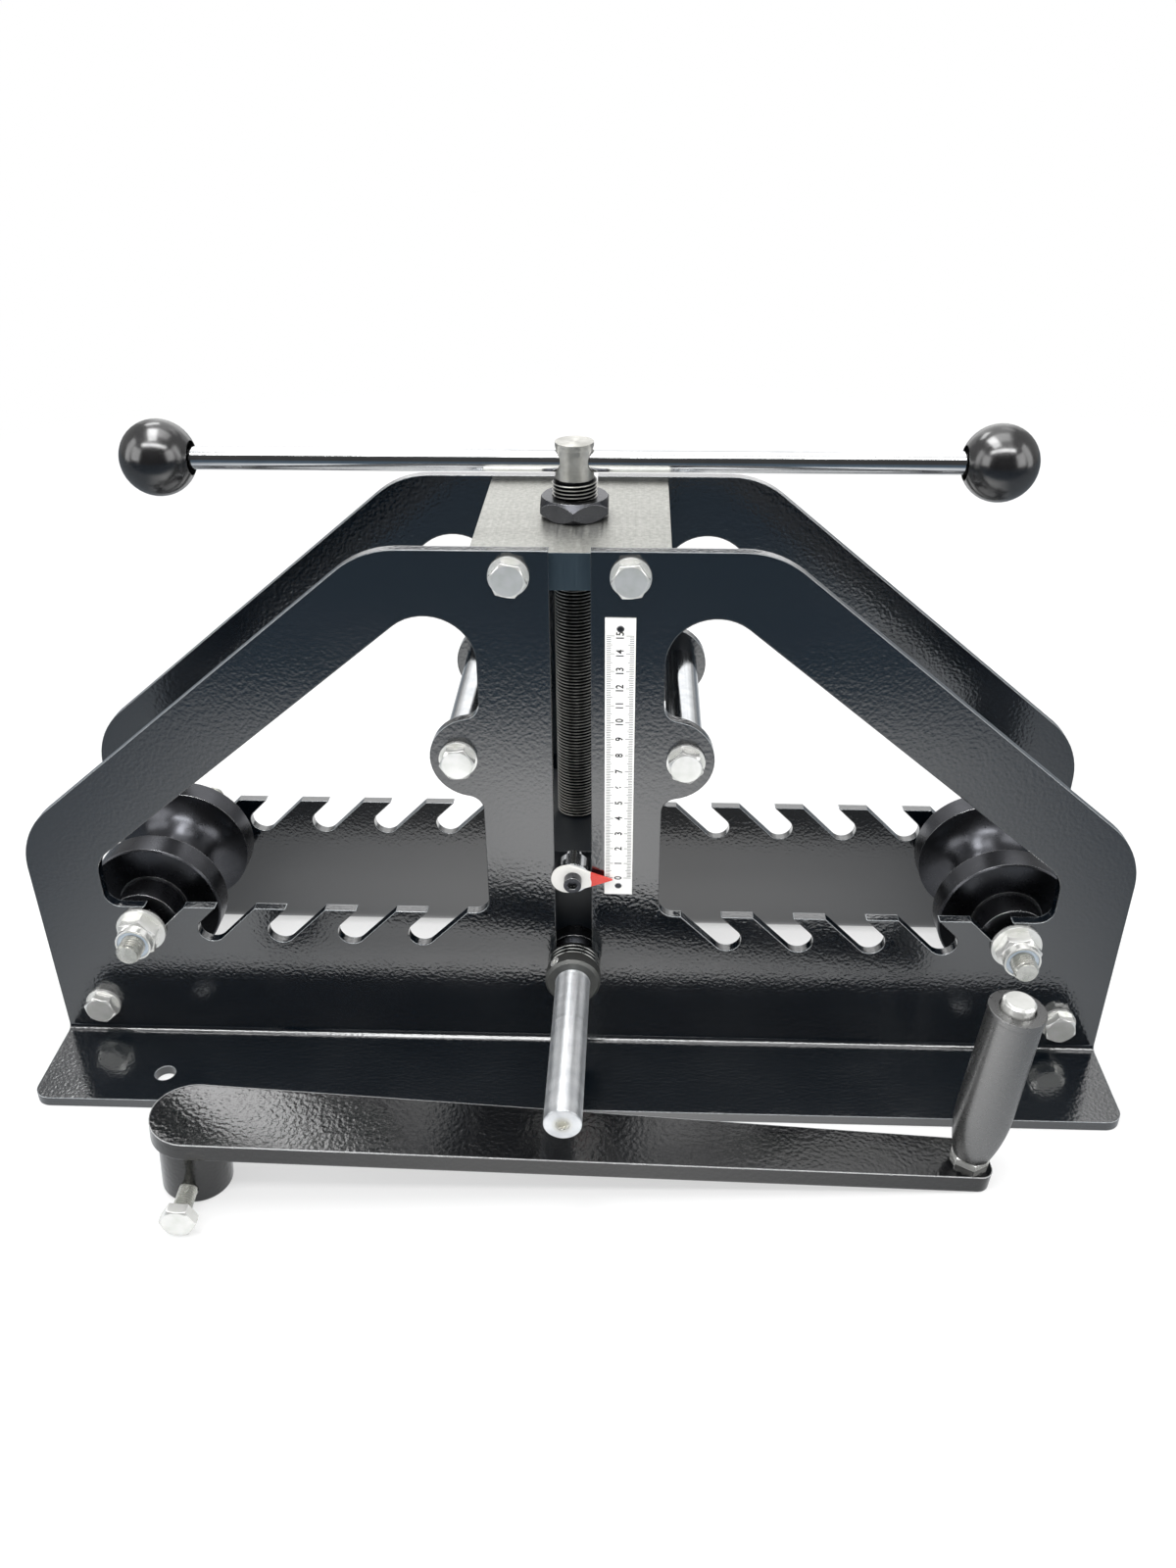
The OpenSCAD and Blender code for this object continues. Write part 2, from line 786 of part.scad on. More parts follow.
module nut_rings() {
    seat_d = nut_collar_d - 2 * nut_collar_wall - 2 * seat_clear;
    foot = plate_out + washer_t + nut_h;
    color("#3f7fc0") both_plates() both_ends() facing_front(roller_x, foot, roller_z)
        ring(seat_d, axle_thread_d + 2 * seat_clear, nut_collar_h - nut_lip);
}

// Carriage

// Cheek outline: straight sides down to the shaft, then a round foot
module cheek_outline() {
    half = yoke_w / 2;
    shoulder = bridge_z - shaft_z;
    top = yoke_top - shaft_z;
    circle(cheek_foot_r);
    polygon([[-cheek_foot_r, 0], [cheek_foot_r, 0], [half, shoulder], [half, top], [-half, top],
             [-half, shoulder]]);
}

module carriage_yoke() {
    color(black_coat) difference() {
        union() {
            both_plates() facing_front(0, cheek_in, shaft_z) linear_extrude(cheek_t) cheek_outline();
            translate([-yoke_w / 2, -cheek_out, bridge_z]) cube([yoke_w, 2 * cheek_out, yoke_bridge]);
        }
        along_shaft(0, shaft_z) cylinder(d = bush_d + 2 * seat_clear, h = 3 * cheek_out, center = true);
        translate([0, 0, bridge_z - 1]) cylinder(d = spigot_d + 2 * run_clear, h = yoke_bridge + 2);
        facing_front(0, cheek_out - 2 * cheek_t, pointer_z)
            cylinder(d = pointer_screw_d + 2 * seat_clear, h = 2 * cheek_t + 1);
    }
}

// Flanged bushes in the cheeks, flange towards the roller
module yoke_bushes() {
    color(bronze) both_plates() facing_front(0, cheek_in, shaft_z) difference() {
        union() {
            cylinder(d = bush_d, h = cheek_t);
            translate([0, 0, -bush_flange_t]) cylinder(d = bush_flange_d, h = bush_flange_t);
        }
        cylinder(d = shaft_d + 2 * run_clear, h = 4 * cheek_t, center = true);
    }
}

// Standoff from the cheek through the slot, slit at its front end
module pointer_standoff() {
    length = standoff_tip - cheek_out;
    color(chrome) facing_front(0, cheek_out, pointer_z) difference() {
        union() {
            cylinder(d = standoff_neck_d, h = length);
            translate([0, 0, length - standoff_l]) cylinder(d = standoff_d, h = standoff_l);
        }
        translate([0, 0, -1]) cylinder(d = pointer_screw_d + 2 * seat_clear, h = length + 2);
        rotate(slit_angle) translate([0, -standoff_slit / 2, length - standoff_slit_l])
            cube([standoff_d, standoff_slit, standoff_slit_l + 1]);
    }
}

// Teardrop pointer: a round end and two lines that touch it and meet at the tip
module pointer() {
    tip = pointer_reach + pointer_back;
    lean = acos(pointer_r / tip);
    touch = pointer_r * [cos(lean), sin(lean)];
    color("#e8e8e6") facing_front(0, standoff_tip, pointer_z) linear_extrude(pointer_t) difference() {
        translate([-pointer_back, 0]) {
            circle(pointer_r);
            polygon([[0, 0], [touch[0], -touch[1]], [tip, 0], touch]);
        }
        circle(d = pointer_screw_d + 2 * bolt_clear);
    }
}

module pointer_screw() {
    grip = standoff_tip + pointer_t - cheek_out;
    color(black_oxide) facing_front(0, standoff_tip + pointer_t, pointer_z) difference() {
        union() {
            cylinder(d = pointer_head_d, h = pointer_head_h);
            translate([0, 0, -grip - cheek_t]) cylinder(d = pointer_screw_d, h = grip + cheek_t + tiny);
        }
        translate([0, 0, pointer_head_h]) socket(socket_af, pointer_head_h / 2);
    }
}

// Drive shaft and what turns with it

module shaft_end_cut() {
    cylinder(d1 = centre_drill_d / 3, d2 = centre_drill_d, h = centre_drill_d / 3);
}

// Shaft with bevelled ends and a drive end for the crank, front end up
module shaft_body() {
    front = plate_out + shaft_front - shaft_bevel;
    rear = plate_out + shaft_rear - shaft_bevel;
    translate([0, 0, -rear - shaft_bevel])
        cylinder(d1 = shaft_d - 2 * shaft_bevel, d2 = shaft_d, h = shaft_bevel);
    translate([0, 0, -rear]) cylinder(d = shaft_d, h = rear + shaft_step);
    translate([0, 0, shaft_step]) cylinder(d = shaft_end_d, h = front - shaft_step);
    translate([0, 0, front])
        cylinder(d1 = shaft_end_d, d2 = shaft_end_d - 2 * shaft_bevel, h = shaft_bevel);
}

// Bed of the key, half in the shaft and half in the roller
module key_bar(slack) {
    translate([-key_w / 2 - slack, shaft_d / 2 - key_h / 2 - slack, -key_l / 2 - slack])
        cube([key_w + 2 * slack, key_h + 2 * slack, key_l + 2 * slack]);
}

module drive_shaft() {
    color(chrome) along_shaft(0, shaft_z) difference() {
        shaft_body();
        key_bar(seat_clear);
        translate([0, 0, plate_out + shaft_front - centre_drill_d / 3]) shaft_end_cut();
        translate([0, 0, -plate_out - shaft_rear + centre_drill_d / 3]) mirror([0, 0, 1]) shaft_end_cut();
    }
}

module drive_key() {
    color(bare_steel) along_shaft(0, shaft_z) key_bar(0);
}

module centre_roller() {
    color(black_oxide) along_shaft(0, shaft_z) difference() {
        rotate_extrude() roller_section(shaft_d + 2 * seat_clear);
        key_bar(seat_clear);
    }
}

// Sleeves that keep the yoke midway between the plates
module shaft_sleeves() {
    color(black_oxide) both_plates() facing_front(0, cheek_out + face_gap, shaft_z)
        ring(shim_d, shaft_d + 2 * seat_clear, plate_in - cheek_out - 2 * face_gap);
}

module shaft_washers() {
    color(chrome) both_plates() for (i = [0:shim_count - 1])
        facing_front(0, plate_out + face_gap + i * shim_t, shaft_z)
            ring(shim_d, shaft_d + 2 * seat_clear, shim_t);
}

// Puts a shape about Z at the middle of a collar, looking out along the set screw
module at_set_screw() {
    facing_front(0, collar_y + collar_w / 2, shaft_z) rotate(set_screw_angle) rotate([0, 90, 0]) children();
}

module shaft_collars() {
    color(black_oxide) both_plates() difference() {
        facing_front(0, collar_y, shaft_z)
            bevelled_ring(collar_d, shaft_d + 2 * seat_clear, collar_w, collar_bevel);
        at_set_screw() cylinder(d = set_screw_d + 2 * seat_clear, h = collar_d);
    }
}

module collar_set_screws() {
    length = (collar_d - shaft_d) / 2 - 2 * seat_clear;
    color(zinc) both_plates() at_set_screw() translate([0, 0, shaft_d / 2 + seat_clear]) difference() {
        cylinder(d = set_screw_d, h = length);
        translate([0, 0, length]) socket(set_screw_d / 2, length / 2);
    }
}

// Press screw, lock nut and tommy bar

module press_screw() {
    color(bare_steel) difference() {
        union() {
            translate([0, 0, spigot_z]) cylinder(d = spigot_d, h = screw_top - spigot_z);
            translate([0, 0, yoke_top + face_gap])
                cylinder(d = screw_d, h = screw_top - yoke_top - face_gap);
            translate([0, 0, screw_top - tiny]) cylinder(d = head_d, h = head_h + tiny);
        }
        translate([0, 0, bar_hole_z]) rotate([0, 90, 0])
            cylinder(d = bar_hole_d, h = 2 * head_d, center = true);
    }
}

// Ring on the screw's spigot that lifts the yoke
module screw_retainer() {
    color(bare_steel) translate([0, 0, spigot_z]) ring(retainer_d, spigot_d + 2 * seat_clear, retainer_h);
}

module lock_nut() {
    color(black_oxide) translate([0, 0, block_top]) rotate(30) difference() {
        intersection() {
            hexagon(lock_af, lock_h, lock_crown_d, lock_bevel);
            translate([0, 0, lock_h]) mirror([0, 0, 1]) hexagon(lock_af, lock_h, lock_crown_d, lock_bevel);
        }
        translate([0, 0, -1]) cylinder(d = screw_d + 2 * run_clear, h = lock_h + 2);
    }
}

module tommy_bar() {
    color(chrome) translate([0, 0, bar_z]) rotate([0, 90, 0])
        cylinder(d = bar_d, h = bar_span, center = true);
}

// Ball with a blind hole for the bar's end and a wider recess round it
module ball_knobs() {
    color(black_plastic) both_ends() translate([bar_span / 2, 0, bar_z]) rotate([0, -90, 0]) difference() {
        sphere(d = knob_d);
        cylinder(d = bar_d + 2 * seat_clear, h = knob_d);
        translate([0, 0, knob_floor]) cylinder(d = knob_recess_d, h = knob_d);
    }
}

// Crank, lying on its boss and its far end

// Crank's own frame: X from boss to grip, Z out of the arm on the grip's side
module on_crank() {
    translate([crank_x, -plate_out - crank_y, crank_lift]) rotate([0, 0, crank_yaw])
        rotate([0, crank_tilt, 0]) children();
}

module crank_outline() {
    root_r = crank_root_w / 2;
    tip = crank_tip_w / 2;
    circle(root_r);
    rounded_polygon([[0, -root_r], [crank_end, -tip], [crank_end, tip], [0, root_r]],
                    [0, crank_tip_r, crank_tip_r, 0]);
}

module crank_arm() {
    color(black_coat) on_crank() linear_extrude(crank_t) difference() {
        crank_outline();
        translate([crank_l, 0]) circle(d = grip_bolt_d + 2 * seat_clear);
    }
}

// Puts a shape about Z on the clamp bolt's axis, pointing out of the boss
module at_clamp() {
    translate([0, 0, clamp_z - boss_l]) rotate([90, 0, 0]) children();
}

module crank_boss() {
    color(black_coat) on_crank() difference() {
        translate([0, 0, -boss_l]) ring(boss_d, shaft_end_d + 4 * run_clear, boss_l);
        at_clamp() cylinder(d = bolt_d + 2 * run_clear, h = boss_d);
    }
}

module clamp_bolt() {
    wall = (boss_d - shaft_d) / 2 - 1;
    color(zinc) on_crank() at_clamp() translate([0, 0, boss_d / 2 + clamp_out])
        hex_bolt(bolt_d, bolt_af, bolt_head_h, clamp_out + wall);
}

// Barrel grip: round belly, straight taper to the neck, rim with a recess
module grip_section() {
    belly = grip_d / 2;
    dip = belly - grip_foot_d / 2;
    belly_arc = (dip * dip + grip_belly_z * grip_belly_z) / (2 * dip);
    rim_z = grip_l - grip_rim_h;
    intersection() {
        square([belly, grip_belly_z]);
        translate([belly - belly_arc, grip_belly_z]) circle(belly_arc, $fn = 360);
    }
    polygon([[0, grip_belly_z], [belly, grip_belly_z], [grip_neck_d / 2, rim_z], [0, rim_z]]);
    translate([0, rim_z]) square([grip_rim_d / 2, grip_rim_h]);
}

module crank_grip() {
    color(black_plastic) on_crank() translate([crank_l, 0, grip_z]) difference() {
        rotate_extrude() grip_section();
        translate([0, 0, -1]) cylinder(d = grip_bolt_d + 2 * run_clear, h = grip_l + 2);
        translate([0, 0, grip_l - grip_recess]) cylinder(d = grip_recess_d, h = grip_recess + 1);
    }
}

module grip_bolt() {
    color(zinc) on_crank() translate([crank_l, 0, 0]) {
        cylinder(d = grip_bolt_d, h = head_seat + tiny);
        translate([0, 0, head_seat]) cylinder(d = grip_head_d, h = grip_head_h - grip_head_bevel);
        translate([0, 0, head_seat + grip_head_h - grip_head_bevel - tiny])
            cylinder(d1 = grip_head_d, d2 = grip_head_d - 2 * grip_head_bevel, h = grip_head_bevel + tiny);
    }
}

module grip_nut() {
    color(zinc) on_crank() translate([crank_l, 0, crank_t]) rotate(30) difference() {
        hexagon(grip_nut_af, grip_nut_h, hex_crown * grip_nut_af);
        translate([0, 0, -1]) cylinder(d = grip_bolt_d + 2 * seat_clear, h = grip_nut_h + 2);
    }
}

front_plate();
rear_plate();
top_block();
block_bolts();
middle_spacers();
middle_bolts();
lower_spacers();
lower_bolts();
bolt_washers();
scale_strip();
scale_rivets();
left_axle();
right_axle();
left_hubs();
right_hubs();
axle_washers();
axle_nuts();
nut_rings();
left_roller();
left_bearings();
right_roller();
right_bearings();
carriage_yoke();
yoke_bushes();
pointer_standoff();
pointer();
pointer_screw();
drive_shaft();
drive_key();
centre_roller();
shaft_sleeves();
shaft_washers();
shaft_collars();
collar_set_screws();
press_screw();
screw_retainer();
lock_nut();
tommy_bar();
ball_knobs();
crank_arm();
crank_boss();
clamp_bolt();
crank_grip();
grip_bolt();
grip_nut();
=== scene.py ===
"""Looks of a three-roll bender: finishes, screw threads, scale marks, studio and camera."""

import json
import logging
import math
from dataclasses import dataclass
from enum import Enum
from typing import Callable

import bmesh
import bpy
import numpy as np
from mathutils import Matrix, Vector


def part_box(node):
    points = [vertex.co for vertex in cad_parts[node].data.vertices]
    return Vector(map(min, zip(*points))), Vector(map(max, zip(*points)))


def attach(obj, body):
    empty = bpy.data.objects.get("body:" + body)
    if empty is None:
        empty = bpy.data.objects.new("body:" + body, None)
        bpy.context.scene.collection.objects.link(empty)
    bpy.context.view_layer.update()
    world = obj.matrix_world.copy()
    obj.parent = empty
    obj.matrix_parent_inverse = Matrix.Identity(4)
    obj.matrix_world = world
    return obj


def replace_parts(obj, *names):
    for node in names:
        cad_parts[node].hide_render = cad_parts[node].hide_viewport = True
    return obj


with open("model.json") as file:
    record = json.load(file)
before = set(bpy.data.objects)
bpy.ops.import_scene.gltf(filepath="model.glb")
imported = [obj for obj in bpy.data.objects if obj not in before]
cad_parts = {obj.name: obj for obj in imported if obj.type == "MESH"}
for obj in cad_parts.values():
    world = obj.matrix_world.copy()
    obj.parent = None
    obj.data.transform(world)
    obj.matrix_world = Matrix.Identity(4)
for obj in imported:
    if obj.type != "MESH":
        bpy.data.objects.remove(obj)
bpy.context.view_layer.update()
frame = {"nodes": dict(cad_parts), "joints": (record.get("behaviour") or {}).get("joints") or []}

Tree = bpy.types.NodeTree
Node = bpy.types.Node
Socket = bpy.types.NodeSocket

MM = 0.001
# Rays that find an edge, distance at which points merge, bend of a sharp edge, slack in tests of place
EDGE_SAMPLES = 6
MERGE_MM = 0.0005
SHARP_DEG = 28
SLACK_MM = 0.01
# Range that a noise seldom leaves, and the narrower one over which a tone changes
NOISE_LOW, NOISE_HIGH = 0.3, 0.7
TONE_LOW, TONE_HIGH = 0.35, 0.65
# Cosine of the bend at which a painted highlight on an edge starts and is full, and the rise of its normal
# likewise, as it is painted only on edges that look up
BEND_STARTS, BEND_FULL = 0.97, 0.88
RISE_STARTS, RISE_FULL = 0.1, 0.4
# Share of a turn that lays a drawn-out highlight across the tool marks
QUARTER_TURN = 0.25
# Sockets of a Mix node go by number: share, two colours and the mixed one, then two levels and the mixed one
MIX_SHARE, MIX_A, MIX_B, MIX_OUT = 0, 6, 7, 2
MIX_LEVEL_A, MIX_LEVEL_B, MIX_LEVEL_OUT = 2, 3, 0
# Depth of a metric thread in pitches, and where in a pitch its crest and its root start and end
THREAD_DEPTH = 0.613
THREAD_PLACES = (0, 0.125, 0.4375, 0.6875)
log = logging.getLogger("roll_bender")


class Axis(Enum):
    """Direction that a piece was turned, drawn or ground along."""

    X = 0
    Y = 1
    Z = 2


def linear(colour: str) -> tuple[float, float, float, float]:
    """Turns an sRGB hex colour into linear light.

    Args:
        colour: Six hex digits after a hash sign.

    Returns:
        Red, green and blue from 0 to 1, and an alpha of 1.
    """
    srgb = np.array([int(colour[i:i + 2], 16) for i in (1, 3, 5)]) / 255
    light = np.where(srgb <= 0.04045, srgb / 12.92, ((srgb + 0.055) / 1.055) ** 2.4)
    return (*light.tolist(), 1.0)


def add_node(tree: Tree, kind: str, inputs: dict[str | int, object] | None = None,
             **settings: object) -> Node:
    """Adds a node with its settings, constants and links.

    Args:
        tree: Node tree of a material or of the world.
        kind: Blender's name of the node type.
        inputs: A constant or an output socket for each input, by name or number.
        settings: Values of the node's own properties.

    Returns:
        The new node.
    """
    node = tree.nodes.new(kind)
    for name, value in settings.items():
        setattr(node, name, value)
    for name, value in (inputs or {}).items():
        if isinstance(value, Socket):
            tree.links.new(value, node.inputs[name])
        else:
            node.inputs[name].default_value = value
    return node


# Finishes

@dataclass(frozen=True)
class Finish:
    """What every finish has: its name, colour and gloss, and how far its edges are rounded."""

    name: str
    colour: str
    roughness: float
    edge_mm: float = 0.4
    metallic: float = 0.0
    specular: float = 0.5
    # Colour of the highlight painted on edges that look up; none leaves the edges in the face colour
    edge_tone: str = ""
    glossier: float = 0.04
    duller: float = 0.05

    def material(self) -> bpy.types.Material:
        """Makes the material on first use.

        Returns:
            The material, the same one each time.
        """
        made = bpy.data.materials.get(self.name)
        if made is None:
            made = bpy.data.materials.new(self.name)
            made.use_nodes = True
            tree = made.node_tree
            shader = tree.nodes["Principled BSDF"]
            shader.inputs["Base Color"].default_value = linear(self.colour)
            shader.inputs["Roughness"].default_value = self.roughness
            shader.inputs["Metallic"].default_value = self.metallic
            shader.inputs["Specular IOR Level"].default_value = self.specular
            coords = add_node(tree, "ShaderNodeTexCoord")
            place = add_node(tree, "ShaderNodeMapping", {
                "Vector": coords.outputs["Object"], "Scale": (1 / MM, 1 / MM, 1 / MM)})
            edge = add_node(tree, "ShaderNodeBevel", {"Radius": self.edge_mm * MM}, samples=EDGE_SAMPLES)
            self.pattern(tree, shader, place.outputs["Vector"], edge.outputs["Normal"])
        return made

    def pattern(self, tree: Tree, shader: Node, place: Socket, edge: Socket) -> None:
        """Adds the surface's own detail.

        Args:
            tree: Node tree of the material.
            shader: The material's shader.
            place: Position on the object, in millimetres.
            edge: Normal with rounded edges.
        """
        raise NotImplementedError

    def gloss(self, tree: Tree, noise: Socket, low: float = NOISE_LOW) -> Socket:
        """Makes the gloss uneven, as a noise has it.

        Args:
            tree: Node tree of the material.
            noise: The noise.
            low: Value of the noise where the surface is glossiest.

        Returns:
            The roughness.
        """
        spread = add_node(tree, "ShaderNodeMapRange", {
            "Value": noise, "From Min": low, "From Max": NOISE_HIGH,
            "To Min": self.roughness - self.glossier, "To Max": self.roughness + self.duller})
        return spread.outputs["Result"]

    def edged(self, tree: Tree, colour: Socket | None, edge: Socket) -> Socket:
        """Paints a highlight into the colour on edges that look upwards, where lamps above would glint.

        Args:
            tree: Node tree of the material.
            colour: Colour of the faces, or none for the finish's own.
            edge: Normal with rounded edges.

        Returns:
            The colour of the faces, with the painted highlight on their upper edges.
        """
        faces = add_node(tree, "ShaderNodeNewGeometry")
        bend = add_node(tree, "ShaderNodeVectorMath", {
            0: edge, 1: faces.outputs["Normal"]}, operation="DOT_PRODUCT")
        rim = add_node(tree, "ShaderNodeMapRange", {
            "Value": bend.outputs["Value"], "From Min": BEND_STARTS, "From Max": BEND_FULL})
        rise = add_node(tree, "ShaderNodeSeparateXYZ", {"Vector": edge})
        upward = add_node(tree, "ShaderNodeMapRange", {
            "Value": rise.outputs["Z"], "From Min": RISE_STARTS, "From Max": RISE_FULL})
        line = add_node(tree, "ShaderNodeMath", {
            0: rim.outputs["Result"], 1: upward.outputs["Result"]}, operation="MULTIPLY")
        painted_highlight = add_node(tree, "ShaderNodeMix", {
            MIX_SHARE: line.outputs["Value"], MIX_A: colour or linear(self.colour),
            MIX_B: linear(self.edge_tone or self.colour)}, data_type="RGBA")
        return painted_highlight.outputs[MIX_OUT]


@dataclass(frozen=True)
class PowderCoat(Finish):
    """Black polyester powder, sprayed and baked: semi-gloss, with an orange peel that ripples reflections."""

    # Orange peel is about 2 mm across and 0.02 mm deep; it is drawn deeper, to show at this size
    peel_mm: float = 2.0
    peel_depth_mm: float = 0.06
    lacquer_ior: float = 1.9
    film_mm: float = 70.0

    def pattern(self, tree: Tree, shader: Node, place: Socket, edge: Socket) -> None:
        """Ripples of the peel's size, and a film that is a little glossier in some places.

        Args:
            tree: Node tree of the material.
            shader: The material's shader.
            place: Position on the object, in millimetres.
            edge: Normal with rounded edges.
        """
        peel = add_node(tree, "ShaderNodeTexNoise", {
            "Vector": place, "Scale": 1 / self.peel_mm, "Detail": 2.0, "Roughness": 0.4})
        film = add_node(tree, "ShaderNodeTexNoise", {
            "Vector": place, "Scale": 1 / self.film_mm, "Detail": 3.0})
        gloss = self.gloss(tree, film.outputs["Fac"])
        bump = add_node(tree, "ShaderNodeBump", {
            "Height": peel.outputs["Fac"], "Distance": self.peel_depth_mm * MM, "Normal": edge})
        # The base colour carries a painted highlight on edges that look up
        tree.links.new(self.edged(tree, None, edge), shader.inputs["Base Color"])
        shader.inputs["Coat Weight"].default_value = 1.0
        shader.inputs["Coat IOR"].default_value = self.lacquer_ior
        tree.links.new(gloss, shader.inputs["Roughness"])
        tree.links.new(gloss, shader.inputs["Coat Roughness"])
        tree.links.new(bump.outputs["Normal"], shader.inputs["Normal"])
        tree.links.new(bump.outputs["Normal"], shader.inputs["Coat Normal"])


@dataclass(frozen=True)
class WorkedSteel(Finish):
    """Bare steel with the marks of its machining: rings on turned pieces, long lines on ground ones."""

    metallic: float = 1.0
    shade: str = "#a4a5a6"
    along: Axis = Axis.Y
    # Tool marks lie 0.1 to 0.3 mm apart; they are drawn wider, to show at this size
    mark_mm: float = 0.9
    run_mm: float = 40.0
    mark_depth_mm: float = 0.01
    mottle_mm: float = 6.0
    sides: str = ""
    drawn_out: float = 0.0
    core: str = ""
    # Reach of the core, the share of it that has its full colour, and a point on its axis
    core_mm: float = 6.0
    core_even: float = 0.3
    axis_mm: tuple[float, float, float] = (0.0, 0.0, 0.0)
    # Rise of the normal at which sides end and tops begin
    level_from: float = 0.4
    level_to: float = 0.6
    glossier: float = 0.07
    duller: float = 0.1

    def pattern(self, tree: Tree, shader: Node, place: Socket, edge: Socket) -> None:
        """Tool marks that change fast along one axis, over a mottled grey.

        A core, sides of another colour and a drawn-out highlight are added where the finish has them.

        Args:
            tree: Node tree of the material.
            shader: The material's shader.
            place: Position on the object, in millimetres.
            edge: Normal with rounded edges.
        """
        pace = np.full(3, 1 / self.run_mm)
        pace[self.along.value] = 1 / self.mark_mm
        lines = add_node(tree, "ShaderNodeMapping", {"Vector": place, "Scale": pace.tolist()})
        marks = add_node(tree, "ShaderNodeTexNoise", {
            "Vector": lines.outputs["Vector"], "Scale": 1.0, "Detail": 3.0})
        mottle = add_node(tree, "ShaderNodeTexNoise", {
            "Vector": place, "Scale": 1 / self.mottle_mm, "Detail": 4.0, "Roughness": 0.6})
        tone = add_node(tree, "ShaderNodeMapRange", {
            "Value": mottle.outputs["Fac"], "From Min": TONE_LOW, "From Max": TONE_HIGH})
        colour = add_node(tree, "ShaderNodeMix", {
            MIX_SHARE: tone.outputs["Result"], MIX_A: linear(self.colour), MIX_B: linear(self.shade)},
            data_type="RGBA")
        gloss = self.gloss(tree, marks.outputs["Fac"])
        bump = add_node(tree, "ShaderNodeBump", {
            "Height": marks.outputs["Fac"], "Distance": self.mark_depth_mm * MM, "Normal": edge})
        shown = colour.outputs[MIX_OUT]
        if self.core:
            middle = add_node(tree, "ShaderNodeMapping", {
                "Vector": place, "Location": [-value for value in self.axis_mm]})
            across = [0.0 if axis is self.along else 1.0 for axis in Axis]
            flat = add_node(tree, "ShaderNodeVectorMath", {
                0: middle.outputs["Vector"], 1: across}, operation="MULTIPLY")
            radius = add_node(tree, "ShaderNodeVectorMath", {0: flat.outputs["Vector"]}, operation="LENGTH")
            near = add_node(tree, "ShaderNodeMapRange", {
                "Value": radius.outputs["Value"], "From Min": self.core_even * self.core_mm,
                "From Max": self.core_mm, "To Min": 1.0, "To Max": 0.0})
            faced = add_node(tree, "ShaderNodeMix", {
                MIX_SHARE: near.outputs["Result"], MIX_A: shown, MIX_B: linear(self.core)},
                data_type="RGBA")
            shown = faced.outputs[MIX_OUT]
        if self.drawn_out:
            around = add_node(tree, "ShaderNodeTangent", direction_type="RADIAL", axis=self.along.name)
            shader.inputs["Anisotropic"].default_value = self.drawn_out
            shader.inputs["Anisotropic Rotation"].default_value = QUARTER_TURN
            tree.links.new(around.outputs["Tangent"], shader.inputs["Tangent"])
        if self.sides:
            faces = add_node(tree, "ShaderNodeNewGeometry")
            up = add_node(tree, "ShaderNodeSeparateXYZ", {"Vector": faces.outputs["True Normal"]})
            level = add_node(tree, "ShaderNodeMapRange", {
                "Value": up.outputs["Z"], "From Min": self.level_from, "From Max": self.level_to})
            by_facing = add_node(tree, "ShaderNodeMix", {
                MIX_SHARE: level.outputs["Result"], MIX_A: linear(self.sides), MIX_B: shown},
                data_type="RGBA")
            shown = by_facing.outputs[MIX_OUT]
        tree.links.new(shown, shader.inputs["Base Color"])
        tree.links.new(gloss, shader.inputs["Roughness"])
        tree.links.new(bump.outputs["Normal"], shader.inputs["Normal"])


@dataclass(frozen=True)
class WornThread(Finish):
    """Screw thread about Z: dark on its flanks and roots, bright at its crests, and dulled unevenly by oil.
    """

    metallic: float = 1.0
    crest: str = "#c9c8c3"
    worn_from_mm: float = 11.4
    worn_to_mm: float = 11.8
    oil_mm: float = 4.0
    oil_reach_mm: float = 0.3
    glossier: float = 0.08
    duller: float = 0.1

    def pattern(self, tree: Tree, shader: Node, place: Socket, edge: Socket) -> None:
        """Brightens with the distance from the axis, unevenly, and dulls where oil has stayed.

        Args:
            tree: Node tree of the material.
            shader: The material's shader.
            place: Position on the object, in millimetres.
            edge: Normal with rounded edges.
        """
        flat = add_node(tree, "ShaderNodeVectorMath", {0: place, 1: (1, 1, 0)}, operation="MULTIPLY")
        radius = add_node(tree, "ShaderNodeVectorMath", {0: flat.outputs["Vector"]}, operation="LENGTH")
        oil = add_node(tree, "ShaderNodeTexNoise", {"Vector": place, "Scale": 1 / self.oil_mm, "Detail": 4.0})
        reach = add_node(tree, "ShaderNodeMath", {
            0: oil.outputs["Fac"], 1: self.oil_reach_mm, 2: radius.outputs["Value"]},
            operation="MULTIPLY_ADD")
        tone_share = add_node(tree, "ShaderNodeMapRange", {
            "Value": reach.outputs["Value"], "From Min": self.worn_from_mm + self.oil_reach_mm / 2,
            "From Max": self.worn_to_mm + self.oil_reach_mm / 2})
        colour = add_node(tree, "ShaderNodeMix", {
            MIX_SHARE: tone_share.outputs["Result"], MIX_A: linear(self.colour), MIX_B: linear(self.crest)},
            data_type="RGBA")
        gloss = self.gloss(tree, oil.outputs["Fac"])
        tree.links.new(colour.outputs[MIX_OUT], shader.inputs["Base Color"])
        tree.links.new(gloss, shader.inputs["Roughness"])
        tree.links.new(edge, shader.inputs["Normal"])


